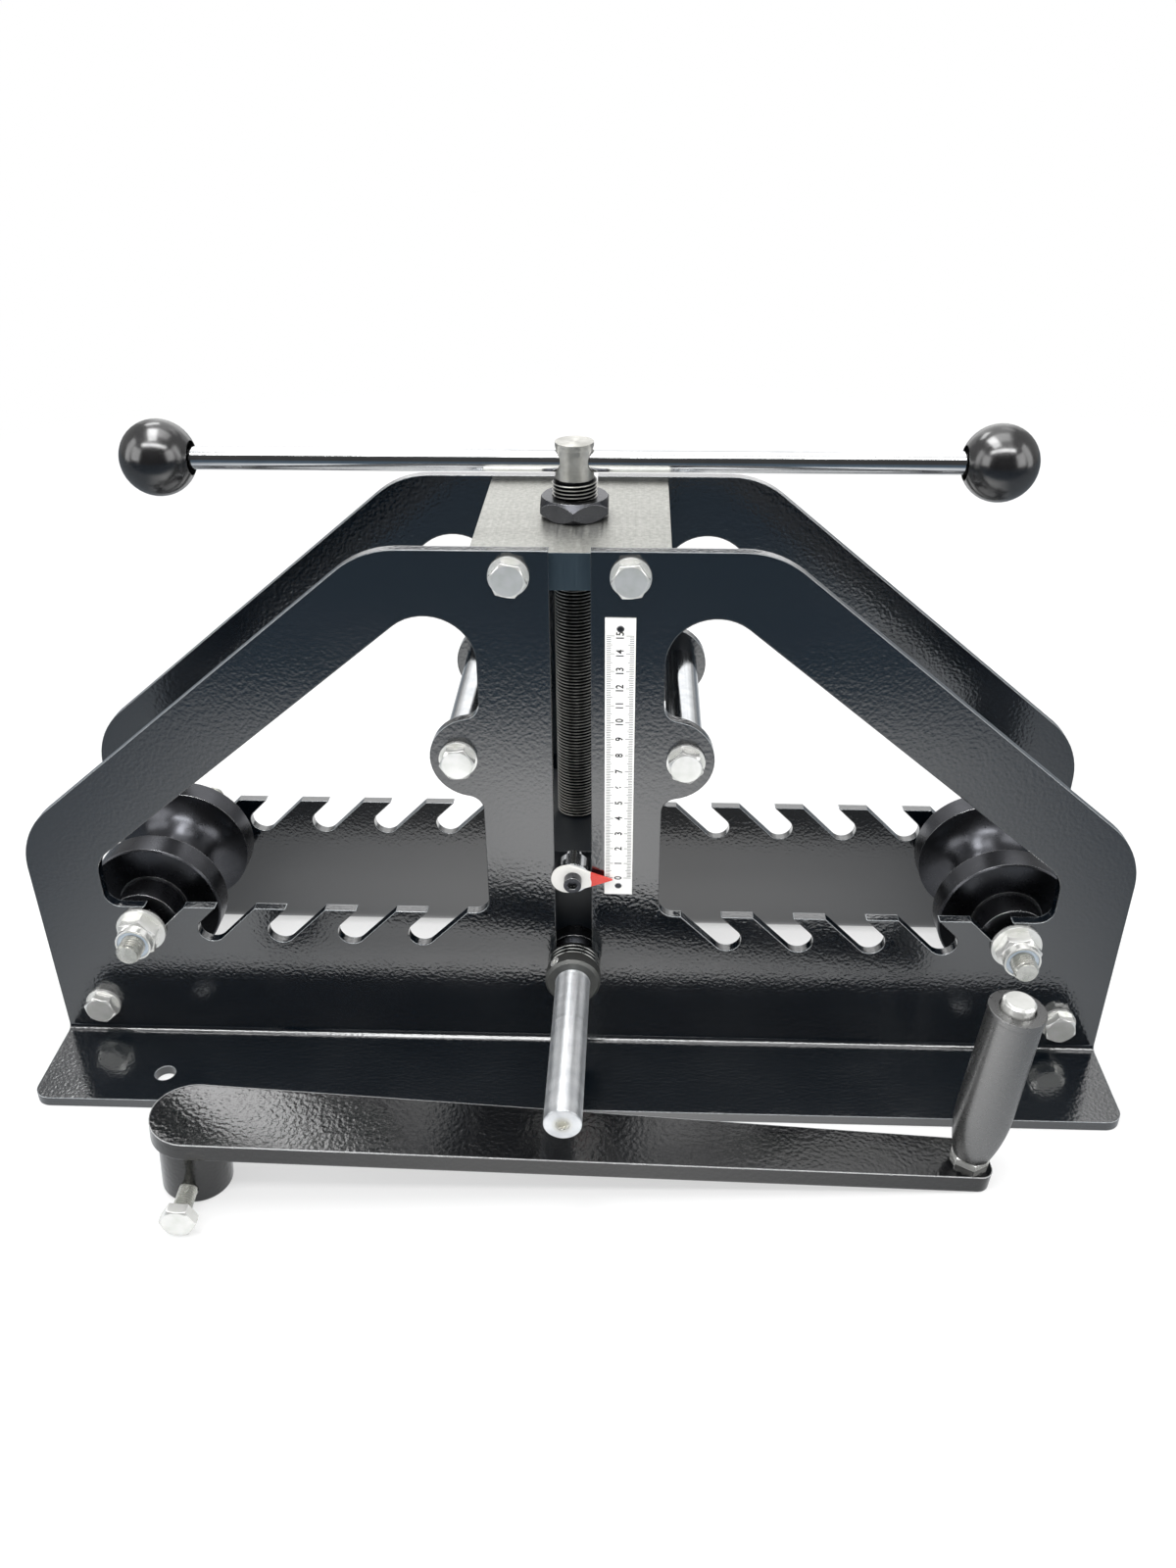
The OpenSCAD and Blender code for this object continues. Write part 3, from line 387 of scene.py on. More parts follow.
@dataclass(frozen=True)
class ZincPlate(Finish):
    """Bright zinc on rolled fasteners: pale grey, with soft dull blotches and a highlight painted on upward
    edges.
    """

    shade: str = "#ecede8"
    blotch_mm: float = 7.0
    blotch_from: float = 0.38
    blotch_to: float = 0.68
    glossier: float = 0.03

    def pattern(self, tree: Tree, shader: Node, place: Socket, edge: Socket) -> None:
        """Blotches that darken and dull the plating together.

        Args:
            tree: Node tree of the material.
            shader: The material's shader.
            place: Position on the object, in millimetres.
            edge: Normal with rounded edges.
        """
        blotch = add_node(tree, "ShaderNodeTexNoise", {
            "Vector": place, "Scale": 1 / self.blotch_mm, "Detail": 2.0, "Roughness": 0.5})
        tone = add_node(tree, "ShaderNodeMapRange", {
            "Value": blotch.outputs["Fac"], "From Min": self.blotch_from, "From Max": self.blotch_to})
        colour = add_node(tree, "ShaderNodeMix", {
            MIX_SHARE: tone.outputs["Result"], MIX_A: linear(self.colour), MIX_B: linear(self.shade)},
            data_type="RGBA")
        gloss = self.gloss(tree, blotch.outputs["Fac"])
        # Edges that look up get a painted highlight in the base colour
        tree.links.new(self.edged(tree, colour.outputs[MIX_OUT], edge), shader.inputs["Base Color"])
        tree.links.new(gloss, shader.inputs["Roughness"])
        tree.links.new(edge, shader.inputs["Normal"])


@dataclass(frozen=True)
class BlackOxide(Finish):
    """Hot black oxide on turned steel, oiled: satin charcoal, with faint stains and fine tool rings."""

    metallic: float = 1.0
    shade: str = "#4e4f53"
    stain_mm: float = 14.0
    # Turning rings lie about 0.2 mm apart; they are drawn wider, to show at this size
    ring_mm: float = 0.8
    ring_run_mm: float = 60.0
    ring_depth_mm: float = 0.003
    glossier: float = 0.02
    duller: float = 0.03

    def pattern(self, tree: Tree, shader: Node, place: Socket, edge: Socket) -> None:
        """Stains in the oil film, and rings along the axis of the rollers.

        Args:
            tree: Node tree of the material.
            shader: The material's shader.
            place: Position on the object, in millimetres.
            edge: Normal with rounded edges.
        """
        stain = add_node(tree, "ShaderNodeTexNoise", {
            "Vector": place, "Scale": 1 / self.stain_mm, "Detail": 5.0, "Roughness": 0.6})
        tone = add_node(tree, "ShaderNodeMapRange", {
            "Value": stain.outputs["Fac"], "From Min": TONE_LOW, "From Max": TONE_HIGH})
        colour = add_node(tree, "ShaderNodeMix", {
            MIX_SHARE: tone.outputs["Result"], MIX_A: linear(self.colour), MIX_B: linear(self.shade)},
            data_type="RGBA")
        lines = add_node(tree, "ShaderNodeMapping", {
            "Vector": place, "Scale": (1 / self.ring_run_mm, 1 / self.ring_mm, 1 / self.ring_run_mm)})
        rings = add_node(tree, "ShaderNodeTexNoise", {
            "Vector": lines.outputs["Vector"], "Scale": 1.0, "Detail": 2.0})
        gloss = self.gloss(tree, stain.outputs["Fac"])
        bump = add_node(tree, "ShaderNodeBump", {
            "Height": rings.outputs["Fac"], "Distance": self.ring_depth_mm * MM, "Normal": edge})
        # Edges that look up get a painted highlight in the base colour
        tree.links.new(self.edged(tree, colour.outputs[MIX_OUT], edge), shader.inputs["Base Color"])
        tree.links.new(gloss, shader.inputs["Roughness"])
        tree.links.new(bump.outputs["Normal"], shader.inputs["Normal"])


@dataclass(frozen=True)
class MouldedPlastic(Finish):
    """Moulded plastic: an even colour, a polished skin with slow waves, and handling marks that dull it."""

    wave_mm: float = 9.0
    wave_depth_mm: float = 0.05
    haze_mm: float = 2.5
    ior: float = 1.5
    glossier: float = 0.02
    duller: float = 0.04

    def pattern(self, tree: Tree, shader: Node, place: Socket, edge: Socket) -> None:
        """Slow waves in the skin, and a haze of finer marks in its gloss.

        Args:
            tree: Node tree of the material.
            shader: The material's shader.
            place: Position on the object, in millimetres.
            edge: Normal with rounded edges.
        """
        wave = add_node(tree, "ShaderNodeTexNoise", {
            "Vector": place, "Scale": 1 / self.wave_mm, "Detail": 1.0})
        haze = add_node(tree, "ShaderNodeTexNoise", {
            "Vector": place, "Scale": 1 / self.haze_mm, "Detail": 6.0})
        gloss = self.gloss(tree, haze.outputs["Fac"], TONE_LOW)
        bump = add_node(tree, "ShaderNodeBump", {
            "Height": wave.outputs["Fac"], "Distance": self.wave_depth_mm * MM, "Normal": edge})
        shader.inputs["IOR"].default_value = self.ior
        tree.links.new(gloss, shader.inputs["Roughness"])
        tree.links.new(bump.outputs["Normal"], shader.inputs["Normal"])


@dataclass(frozen=True)
class SatinPrint(Finish):
    """Printed or painted sheet: an even coat with a faint grain, and for some a second colour past a line."""

    second: str = ""
    second_from_mm: float = 0.0
    waver_mm: float = 5.0
    waver_reach_mm: float = 1.6
    waver_soft_mm: float = 0.1
    grain_mm: float = 0.7
    grain_depth_mm: float = 0.01
    smudge: str = "#b5b4ae"
    smudge_mm: float = 11.0
    smudge_from: float = 0.5
    smudge_to: float = 0.8
    smudge_most: float = 0.25
    glossier: float = 0.05

    def pattern(self, tree: Tree, shader: Node, place: Socket, edge: Socket) -> None:
        """Grain in the gloss, smudges, and a hand-painted line that wavers by a fraction of a millimetre.

        Args:
            tree: Node tree of the material.
            shader: The material's shader.
            place: Position on the object, in millimetres.
            edge: Normal with rounded edges.
        """
        grain = add_node(tree, "ShaderNodeTexNoise", {
            "Vector": place, "Scale": 1 / self.grain_mm, "Detail": 3.0})
        gloss = self.gloss(tree, grain.outputs["Fac"])
        dirt = add_node(tree, "ShaderNodeTexNoise", {
            "Vector": place, "Scale": 1 / self.smudge_mm, "Detail": 4.0})
        tone_share = add_node(tree, "ShaderNodeMapRange", {
            "Value": dirt.outputs["Fac"], "From Min": self.smudge_from, "From Max": self.smudge_to,
            "To Min": 0.0, "To Max": self.smudge_most})
        colour = add_node(tree, "ShaderNodeMix", {
            MIX_SHARE: tone_share.outputs["Result"], MIX_A: linear(self.colour), MIX_B: linear(self.smudge)},
            data_type="RGBA")
        painted = colour.outputs[MIX_OUT]
        if self.second:
            waver = add_node(tree, "ShaderNodeTexNoise", {
                "Vector": place, "Scale": 1 / self.waver_mm, "Detail": 1.0})
            across = add_node(tree, "ShaderNodeSeparateXYZ", {"Vector": place})
            line = add_node(tree, "ShaderNodeMath", {
                0: waver.outputs["Fac"], 1: self.waver_reach_mm, 2: across.outputs["X"]},
                operation="MULTIPLY_ADD")
            start = self.second_from_mm + self.waver_reach_mm / 2
            side = add_node(tree, "ShaderNodeMapRange", {
                "Value": line.outputs["Value"], "From Min": start - self.waver_soft_mm,
                "From Max": start + self.waver_soft_mm})
            tip = add_node(tree, "ShaderNodeMix", {
                MIX_SHARE: side.outputs["Result"], MIX_A: painted, MIX_B: linear(self.second)},
                data_type="RGBA")
            painted = tip.outputs[MIX_OUT]
        bump = add_node(tree, "ShaderNodeBump", {
            "Height": grain.outputs["Fac"], "Distance": self.grain_depth_mm * MM, "Normal": edge})
        tree.links.new(painted, shader.inputs["Base Color"])
        tree.links.new(gloss, shader.inputs["Roughness"])
        tree.links.new(bump.outputs["Normal"], shader.inputs["Normal"])


# Baked black powder: nearly black, with a dim rippled reflection and pale highlights painted on its upper
# edges
PLATE_COAT = PowderCoat(
    "black powder coat", "#040b12", 0.12, edge_mm=0.9, specular=1.0, edge_tone="#aab0b4", peel_depth_mm=0.12)
# Thick gloss paint: deep black with a hammered ripple, and a painted highlight as a light line along the
# upper edges
CRANK_COAT = PowderCoat(
    "black gloss crank paint", "#07080a", 0.14, edge_mm=1.2, specular=0.3, peel_mm=2.4, peel_depth_mm=0.16,
    lacquer_ior=1.5, edge_tone="#d8d9da")
# Thin satin paint: a flat blue-black that mirrors nothing clearly
YOKE_COAT = PowderCoat("satin black yoke paint", "#0a1219", 0.42, edge_mm=0.9, lacquer_ior=1.5)
# Ground bar: pale mottled grey on top, and a darker blue-grey on faces that do not look up
BLOCK_STEEL = WorkedSteel(
    "ground block steel", "#bdbdb8", 0.42, edge_mm=0.6, shade="#a4a49f", along=Axis.X, mark_mm=1.1,
    mark_depth_mm=0.003, mottle_mm=2.4, sides="#5f6f79")
# Turned bar: a soft grey streak that runs up the round
SCREW_STEEL = WorkedSteel(
    "turned screw steel", "#d2d1cc", 0.42, edge_mm=0.3, shade="#bab9b3", along=Axis.Z, drawn_out=0.7)
# Screw thread: black flanks and roots between bright crests, and oil that dulls it here and there
SCREW_THREAD = WornThread("oiled screw thread", "#131416", 0.36, edge_mm=0.1)
# Plain turned steel: grey metal with fine rings
INNER_STEEL = WorkedSteel("bright turned steel", "#c6c7c7", 0.3, edge_mm=0.3)
# Chrome on drawn bar: a clear mirror, white above and dark below
BAR_CHROME = WorkedSteel(
    "hard chrome on drawn bar", "#f0f1f2", 0.1, edge_mm=0.4, shade="#e4e6e8", mark_mm=1.0, run_mm=90.0,
    mark_depth_mm=0.001, mottle_mm=12.0)
# Chrome on ground rod: a mirror that is a little softer
ROD_CHROME = WorkedSteel(
    "hard chrome on ground rod", "#e0e2e4", 0.16, edge_mm=0.4, shade="#cfd2d5", along=Axis.X, mark_mm=1.0,
    run_mm=90.0, mark_depth_mm=0.002, mottle_mm=12.0)
# Turned shaft: a white streak along the round, and a brownish centre on its end
SHAFT_STEEL = WorkedSteel(
    "turned bright shaft steel", "#eff1f3", 0.42, edge_mm=0.5, shade="#dde0e3", mark_mm=1.2, run_mm=120.0,
    mottle_mm=10.0, drawn_out=0.85, core="#c4c2b4", axis_mm=(0, 0, 65))
# Zinc on rolled fasteners: light grey faces, white rims that are a painted highlight, and facets that differ
# from one another
ZINC = ZincPlate(
    "bright zinc plating", "#fcfcf9", 0.18, edge_mm=0.4, metallic=0.72, edge_tone="#ffffff")
# The same plating on a thread: duller, with crisp edges
ZINC_THREAD = ZincPlate(
    "zinc on rolled thread", "#d9d9d3", 0.25, edge_mm=0.05, metallic=0.75, shade="#b9bab4")
# Hot black oxide under oil: charcoal with soft bright highlights, and thin light rims that are a painted
# highlight
OXIDE = BlackOxide("oiled black oxide", "#55565a", 0.27, edge_mm=0.6, edge_tone="#c2c3c4")
# Phosphate: a flat mid grey with a bright bevel that is a painted highlight
COLLAR_STEEL = BlackOxide(
    "phosphated collar steel", "#70716f", 0.5, edge_mm=0.4, shade="#646563", edge_tone="#dcdcda")
# Hardened steel: dark grey and fairly bright, so that each washer's bevel shows as a line
WASHER_STEEL = WorkedSteel(
    "hardened washer steel", "#9b9c9a", 0.2, edge_mm=0.2, shade="#868784", mark_mm=0.7)
# Phenolic: deep black with round, clear highlights
KNOB_PLASTIC = MouldedPlastic(
    "black phenolic moulding", "#121213", 0.2, edge_mm=0.5, specular=1.0, ior=1.65)
# Nylon that hands have rubbed: a broad grey sheen
GRIP_PLASTIC = MouldedPlastic("black nylon moulding", "#262626", 0.28, edge_mm=0.7, specular=1.0, ior=2.0)
# Nylon of the locking rings: pale and milky
RING_NYLON = MouldedPlastic("pale blue nylon", "#c3cfdc", 0.4, edge_mm=0.2)
# Painted spring steel: a plain white with little gloss
SCALE_WHITE = SatinPrint("matt white on spring steel", "#f8f8f6", 0.42, edge_mm=0.2)
# Printing ink: flat black
SCALE_INK = SatinPrint("black printing ink", "#121316", 0.5, edge_mm=0.05)
# Enamel with a dipped tip: white, and red past a wavering line
POINTER_ENAMEL = SatinPrint(
    "white enamel with a red tip", "#ecebe7", 0.3, edge_mm=0.3, second="#da4a41", second_from_mm=10.2)
# Sintered bronze: dull yellow-brown
BUSH_BRONZE = WorkedSteel("sintered bronze", "#a9824a", 0.4, edge_mm=0.2, shade="#8d6a39")


# Surfaces

@dataclass
class Surface:
    """A mesh as whole arrays: points in metres, and arrays of faces that index them."""

    points: np.ndarray
    faces: list[np.ndarray]

    def placed(self, matrix: Matrix) -> "Surface":
        """Moves the surface to its place.

        Args:
            matrix: Turn and shift, in metres.

        Returns:
            The moved surface.
        """
        turn = np.array(matrix)
        return Surface(self.points @ turn[:3, :3].T + turn[:3, 3], self.faces)

    def joined(self, other: "Surface") -> "Surface":
        """Puts two surfaces into one.

        Args:
            other: The surface to add.

        Returns:
            Both, with the second's faces numbered after the first's points.
        """
        shift = len(self.points)
        return Surface(np.vstack([self.points, other.points]), self.faces + [f + shift for f in other.faces])

    def both_ways(self, axis_x: float, axis_z: float) -> "Surface":
        """Lays what stands up Z along a line in Y, once towards the front and once towards the rear.

        Args:
            axis_x: X of the line.
            axis_z: Z of the line.

        Returns:
            Both copies.
        """
        line = Matrix.Translation((axis_x, 0, axis_z))
        front = line @ Matrix.Rotation(math.radians(90), 4, "X")
        rear = line @ Matrix.Rotation(math.radians(-90), 4, "X")
        return self.placed(front).joined(self.placed(rear))


def thread(crest_r: float, pitch: float, low: float, high: float, around: int = 64) -> Surface:
    """A right-hand thread about +Z with closed flat ends, as a sheared grid.

    Columns run once round the axis and rows up it, and each row is a helix: its height is a fixed place on
    the profile plus the pitch times the share of a turn, and its radius is the profile's there. The profile
    is the metric one: a crest an eighth of the pitch wide, a root a quarter wide, straight flanks between
    them, and a depth of 0.613 pitch. Rows are held between the two ends, where the radius falls to the root
    at 45 degrees. After a turn, a row meets the one that starts a pitch higher.

    Args:
        crest_r: Radius at the crests.
        pitch: Rise in a turn.
        low: Height of the lower end.
        high: Height of the upper end.
        around: Columns in a turn.

    Returns:
        The thread's surface.
    """
    root_r = crest_r - THREAD_DEPTH * pitch
    places = np.array(THREAD_PLACES)
    turns = math.ceil((high - low) / pitch) + 2
    share = np.arange(around) / around
    rise = (np.arange(-1, turns - 1)[:, None] + places).reshape(-1, 1) + share
    height = np.clip(low + pitch * rise, low, high)
    radius = np.tile([crest_r, crest_r, root_r, root_r], turns)[:, None]
    radius = np.minimum(radius, root_r + np.minimum(height - low, high - height))
    turn = 2 * np.pi * share
    points = np.stack([radius * np.cos(turn), radius * np.sin(turn), height], axis=-1).reshape(-1, 3)
    index = np.arange(len(points)).reshape(height.shape)
    after = np.full_like(index, -1)
    after[:, :-1] = index[:, 1:]
    after[:-len(places), -1] = index[len(places):, 0]
    quads = np.stack([index[:-1], after[:-1], after[1:], index[1:]], axis=-1).reshape(-1, 4)
    wall = Surface(points, [quads[(quads >= 0).all(axis=1)]])
    ring = np.stack([root_r * np.cos(turn), root_r * np.sin(turn)], axis=-1)
    near, far = np.arange(around), np.roll(np.arange(around), -1)
    hub = np.full(around, around)
    for level, fan in ((low, [hub, far, near]), (high, [hub, near, far])):
        disc = np.vstack([np.column_stack([ring, np.full(around, level)]), [0, 0, level]])
        wall = wall.joined(Surface(disc, [np.stack(fan, axis=-1)]))
    return wall


def lathe(profile: np.ndarray, around: int = 96) -> Surface:
    """A closed profile turned about Z: each point goes round a circle of its own radius, at its own height.

    Args:
        profile: Radius and height of each corner, in order round the section.
        around: Steps in a turn.

    Returns:
        The ring that the section sweeps.
    """
    turn = 2 * np.pi * np.arange(around) / around
    radius = profile[:, :1]
    height = np.broadcast_to(profile[:, 1:], (len(profile), around))
    points = np.stack([radius * np.cos(turn), radius * np.sin(turn), height], axis=-1).reshape(-1, 3)
    index = np.arange(len(points)).reshape(len(profile), around)
    after, beyond = np.roll(index, -1, axis=1), np.roll(index, -1, axis=0)
    quads = np.stack([index, after, np.roll(beyond, -1, axis=1), beyond], axis=-1)
    return Surface(points, [quads.reshape(-1, 4)])


def slabs(low: np.ndarray, high: np.ndarray) -> Surface:
    """Separate upright boxes, all at once.

    Corner c of a box takes its high side along axis k if bit k of c is set.

    Args:
        low: Lowest corner of each box.
        high: Highest corner of each box.

    Returns:
        The boxes, with their faces outwards.
    """
    bits = (np.arange(8)[:, None] >> np.arange(3)) & 1
    points = np.where(bits, high[:, None], low[:, None]).reshape(-1, 3)
    sides = np.array([[0, 2, 3, 1], [4, 5, 7, 6], [0, 1, 5, 4], [2, 6, 7, 3], [0, 4, 6, 2], [1, 3, 7, 5]])
    return Surface(points, [(sides + 8 * np.arange(len(low))[:, None, None]).reshape(-1, 4)])


def read_mesh(mesh: bpy.types.Mesh) -> Surface:
    """Reads a mesh into arrays.

    Args:
        mesh: The mesh.

    Returns:
        Its points and its triangles.
    """
    points = np.empty(3 * len(mesh.vertices))
    mesh.vertices.foreach_get("co", points)
    mesh.calc_loop_triangles()
    corners = np.empty(3 * len(mesh.loop_triangles), dtype=int)
    mesh.loop_triangles.foreach_get("vertices", corners)
    return Surface(points.reshape(-1, 3), [corners.reshape(-1, 3)])


def copied(node: str, keep: Callable[[np.ndarray], np.ndarray]) -> Surface:
    """Copies those triangles of a CAD node whose corners all pass a test.

    Args:
        node: Name of the CAD node.
        keep: Takes the node's points and says of each whether it passes.

    Returns:
        The chosen triangles.
    """
    whole = read_mesh(frame["nodes"][node].data)
    corners = whole.faces[0]
    chosen = corners[keep(whole.points)[corners].all(axis=1)]
    used, again = np.unique(chosen, return_inverse=True)
    return Surface(whole.points[used], [again.reshape(-1, 3)])


def add_piece(name: str, surface: Surface, finish: Finish, body: str) -> bpy.types.Object:
    """Makes a surface an object of the scene that rides on a CAD body.

    Args:
        name: Name of the piece.
        surface: Its points and faces, in their place.
        finish: What it is dressed in.
        body: The CAD body that it moves with.

    Returns:
        The new object.
    """
    mesh = bpy.data.meshes.new(name)
    faces = [face for array in surface.faces for face in array.tolist()]
    mesh.from_pydata(surface.points.tolist(), [], faces)
    work = bmesh.new()
    work.from_mesh(mesh)
    bmesh.ops.remove_doubles(work, verts=work.verts, dist=MERGE_MM * MM)
    bmesh.ops.recalc_face_normals(work, faces=work.faces)
    work.to_mesh(mesh)
    work.free()
    mesh.polygons.foreach_set("use_smooth", np.ones(len(mesh.polygons), dtype=bool))
    mesh.set_sharp_from_angle(angle=math.radians(SHARP_DEG))
    mesh.materials.append(finish.material())
    piece = bpy.data.objects.new(name, mesh)
    bpy.context.scene.collection.objects.link(piece)
    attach(piece, body)
    log.info("%s: %d faces, rides on %s", name, len(mesh.polygons), body)
    return piece


def dress(finish: Finish, *nodes: str) -> None:
    """Gives CAD nodes a finish.

    Args:
        finish: The finish.
        nodes: Names of the nodes.
    """
    for node in nodes:
        shown = frame["nodes"][node]
        if not shown.material_slots:
            shown.data.materials.append(None)
        for holder in shown.material_slots:
            holder.material = finish.material()
        log.info("%s: %s", node, finish.name)


# Sub-assemblies

@dataclass
class SidePlates:
    """The two bent plates, the block between their tops, the spacer rods and their bolts."""

    def build(self) -> None:
        """Dresses the frame's own pieces."""
        dress(PLATE_COAT, "front_plate", "rear_plate")
        dress(BLOCK_STEEL, "top_block")
        dress(ROD_CHROME, "middle_spacers", "lower_spacers")
        dress(ZINC, "block_bolts", "middle_bolts", "lower_bolts", "bolt_washers")


@dataclass
class ScaleRule:
    """Steel rule beside the slot: printed marks along both edges, and numbers that read upwards."""

    zero_mm: float = 11.25
    length_cm: int = 15
    margin_mm: float = 0.8
    tick_mm: float = 0.3
    short_mm: float = 2.3
    half_mm: float = 3.0
    long_mm: float = 4.1
    digit_mm: float = 3.9
    digit_share: float = 0.7
    digit_narrow: float = 0.85
    digit_bold_mm: float = 0.13
    proud_mm: float = 0.04

    def build(self) -> None:
        """Dresses the strip and its rivets, and prints the marks on it."""
        dress(SCALE_WHITE, "scale_strip")
        dress(OXIDE, "scale_rivets")
        add_piece("scale_ticks", self.ticks(), SCALE_INK, "frame")
        add_piece("scale_numbers", self.numbers(), SCALE_INK, "frame")

    def ticks(self) -> Surface:
        """A mark each millimetre on both edges, longer at every fifth and longest at every tenth.

        Returns:
            The marks, as thin slabs on the strip's face.
        """
        low, high = (np.array(corner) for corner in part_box("scale_strip"))
        count = np.arange(10 * self.length_cm + 1)
        fifths = np.where(count % 5 == 0, self.half_mm, self.short_mm)
        reach = np.where(count % 10 == 0, self.long_mm, fifths) * MM
        height = low[2] + (self.zero_mm + count) * MM
        half = self.tick_mm * MM / 2
        front, back = low[1] - self.proud_mm * MM, low[1]
        first, last = low[0] + self.margin_mm * MM, high[0] - self.margin_mm * MM
        left = np.stack([np.full(len(count), first), np.full(len(count), front), height - half], axis=-1)
        left_end = np.stack([first + reach, np.full(len(count), back), height + half], axis=-1)
        right = np.stack([last - reach, np.full(len(count), front), height - half], axis=-1)
        right_end = np.stack([np.full(len(count), last), np.full(len(count), back), height + half], axis=-1)
        return slabs(np.vstack([left, right]), np.vstack([left_end, right_end]))

    def numbers(self) -> Surface:
        """Numbers from 0 to the rule's length, turned to read upwards, each made a mesh and set on its mark.

        Returns:
            The numbers, on the strip's face.
        """
        low, high = (np.array(corner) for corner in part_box("scale_strip"))
        # Text runs up Z, its tops point to -X, and it faces the front
        turn = Matrix(((0, -1, 0), (0, 0, -1), (1, 0, 0))).to_4x4()
        printed = Surface(np.empty((0, 3)), [])
        for number in range(self.length_cm + 1):
            letters = bpy.data.curves.new("number", "FONT")
            letters.body = str(number)
            letters.size = self.digit_mm / self.digit_share * MM
            letters.extrude = self.proud_mm * MM / 2
            letters.offset = self.digit_bold_mm * MM
            letters.align_x = "CENTER"
            letters.align_y = "CENTER"
            holder = bpy.data.objects.new("number", letters)
            shape = read_mesh(holder.to_mesh())
            shape.points *= (self.digit_narrow, 1, 1)
            place = Vector(((low[0] + high[0]) / 2, low[1] - self.proud_mm * MM / 2,
                            low[2] + (self.zero_mm + 10 * number) * MM))
            printed = printed.joined(shape.placed(Matrix.Translation(place) @ turn))
            holder.to_mesh_clear()
            bpy.data.objects.remove(holder)
            bpy.data.curves.remove(letters)
        return printed


@dataclass
class FreeRollers:
    """The two lower rollers with bearings and hubs, on axles whose threaded ends hold washers and nuts."""

    thread_r_mm: float = 7.0
    thread_pitch_mm: float = 2.0
    neck_end_mm: float = 63.5

    def build(self) -> None:
        """Dresses rollers and fasteners, and gives each axle its two threaded ends."""
        dress(OXIDE, "left_roller", "right_roller", "left_hubs", "right_hubs")
        dress(INNER_STEEL, "left_bearings", "right_bearings")
        dress(ZINC, "axle_washers", "axle_nuts")
        dress(RING_NYLON, "nut_rings")
        for side in ("left", "right"):
            node = f"{side}_axle"
            core = copied(node, lambda points: np.abs(points[:, 1]) <= (self.neck_end_mm + SLACK_MM) * MM)
            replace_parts(add_piece(f"{side}_axle_core", core, OXIDE, "frame"), node)
            ends = add_piece(f"{side}_axle_threads", self.threads(node), ZINC_THREAD, "frame")
            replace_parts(ends, node)

    def threads(self, node: str) -> Surface:
        """Both threaded ends of an axle, from the neck to the tip.

        Args:
            node: The axle's CAD node.

        Returns:
            The two threads, about the axle's own line.
        """
        low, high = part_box(node)
        end = thread(self.thread_r_mm * MM, self.thread_pitch_mm * MM, self.neck_end_mm * MM, high[1])
        return end.both_ways((low[0] + high[0]) / 2, (low[2] + high[2]) / 2)


@dataclass
class Carriage:
    """The yoke that the screw moves, with the pointer on its standoff."""

    def build(self) -> None:
        """Dresses the yoke and the pointer."""
        dress(YOKE_COAT, "carriage_yoke")
        dress(BUSH_BRONZE, "yoke_bushes")
        dress(ROD_CHROME, "pointer_standoff")
        dress(POINTER_ENAMEL, "pointer")
        dress(OXIDE, "pointer_screw")


@dataclass
class DriveShaft:
    """The driven roller on its shaft, with key, sleeves, washers and collars."""

    washer_count: int = 3
    washer_bore_mm: float = 10.25
    washer_bevel_mm: float = 0.35

    def build(self) -> None:
        """Dresses the shaft and what turns with it, and parts the washers that the CAD has in one."""
        dress(SHAFT_STEEL, "drive_shaft")
        dress(OXIDE, "centre_roller", "shaft_sleeves")
        dress(COLLAR_STEEL, "shaft_collars")
        stack = add_piece("shaft_washer_stack", self.washers(), WASHER_STEEL, "drive_shaft")
        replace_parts(stack, "shaft_washers")
        dress(INNER_STEEL, "drive_key")
        dress(ZINC, "collar_set_screws")

    def washers(self) -> Surface:
        """The washers between plate and collar, in front and behind, each with its edges bevelled.

        Returns:
            Both stacks, which fill the place of the CAD node.
        """
        low, high = (np.array(corner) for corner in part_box("shaft_washers"))
        outer, middle = (high[0] - low[0]) / 2, (high[2] + low[2]) / 2
        wall = copied("shaft_washers", lambda points: points[:, 1] < 0).points[:, 1]
        first, thick = -wall.max(), (wall.max() - wall.min()) / self.washer_count
        bevel = self.washer_bevel_mm * MM
        bore = self.washer_bore_mm * MM
        profile = np.array([[bore, 0], [outer - bevel, 0], [outer, bevel], [outer, thick - bevel],
                            [outer - bevel, thick], [bore, thick]])
        stack = Surface(np.empty((0, 3)), [])
        for number in range(self.washer_count):
            stack = stack.joined(lathe(profile + (0, first + number * thick)))
        return stack.both_ways(0, middle)


@dataclass
class PressScrew:
    """The threaded press screw with its lock nut, and the tommy bar with a ball at each end."""

    crest_r_mm: float = 12.0
    crest_wall_mm: float = 0.2
    pitch_mm: float = 2.0

    def build(self) -> None:
        """Cuts the thread and dresses what goes with the screw."""
        plain = copied("press_screw", lambda points: ~self.at_crest(points))
        wide = copied("press_screw", self.at_crest).points[:, 2]
        cut = thread(self.crest_r_mm * MM, self.pitch_mm * MM, wide.min(), wide.max())
        ends = add_piece("press_screw_ends", plain, SCREW_STEEL, "press_screw")
        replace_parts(ends, "press_screw")
        helix = add_piece("press_screw_thread", cut, SCREW_THREAD, "press_screw")
        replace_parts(helix, "press_screw")
        dress(SCREW_STEEL, "screw_retainer")
        dress(OXIDE, "lock_nut")
        dress(BAR_CHROME, "tommy_bar")
        dress(KNOB_PLASTIC, "ball_knobs")

    def at_crest(self, points: np.ndarray) -> np.ndarray:
        """Says which points of the CAD screw lie at its full diameter.

        Args:
            points: Points of the screw, in metres.

        Returns:
            True for each point at the radius of the crests.
        """
        return np.hypot(points[:, 0], points[:, 1]) > (self.crest_r_mm - self.crest_wall_mm) * MM


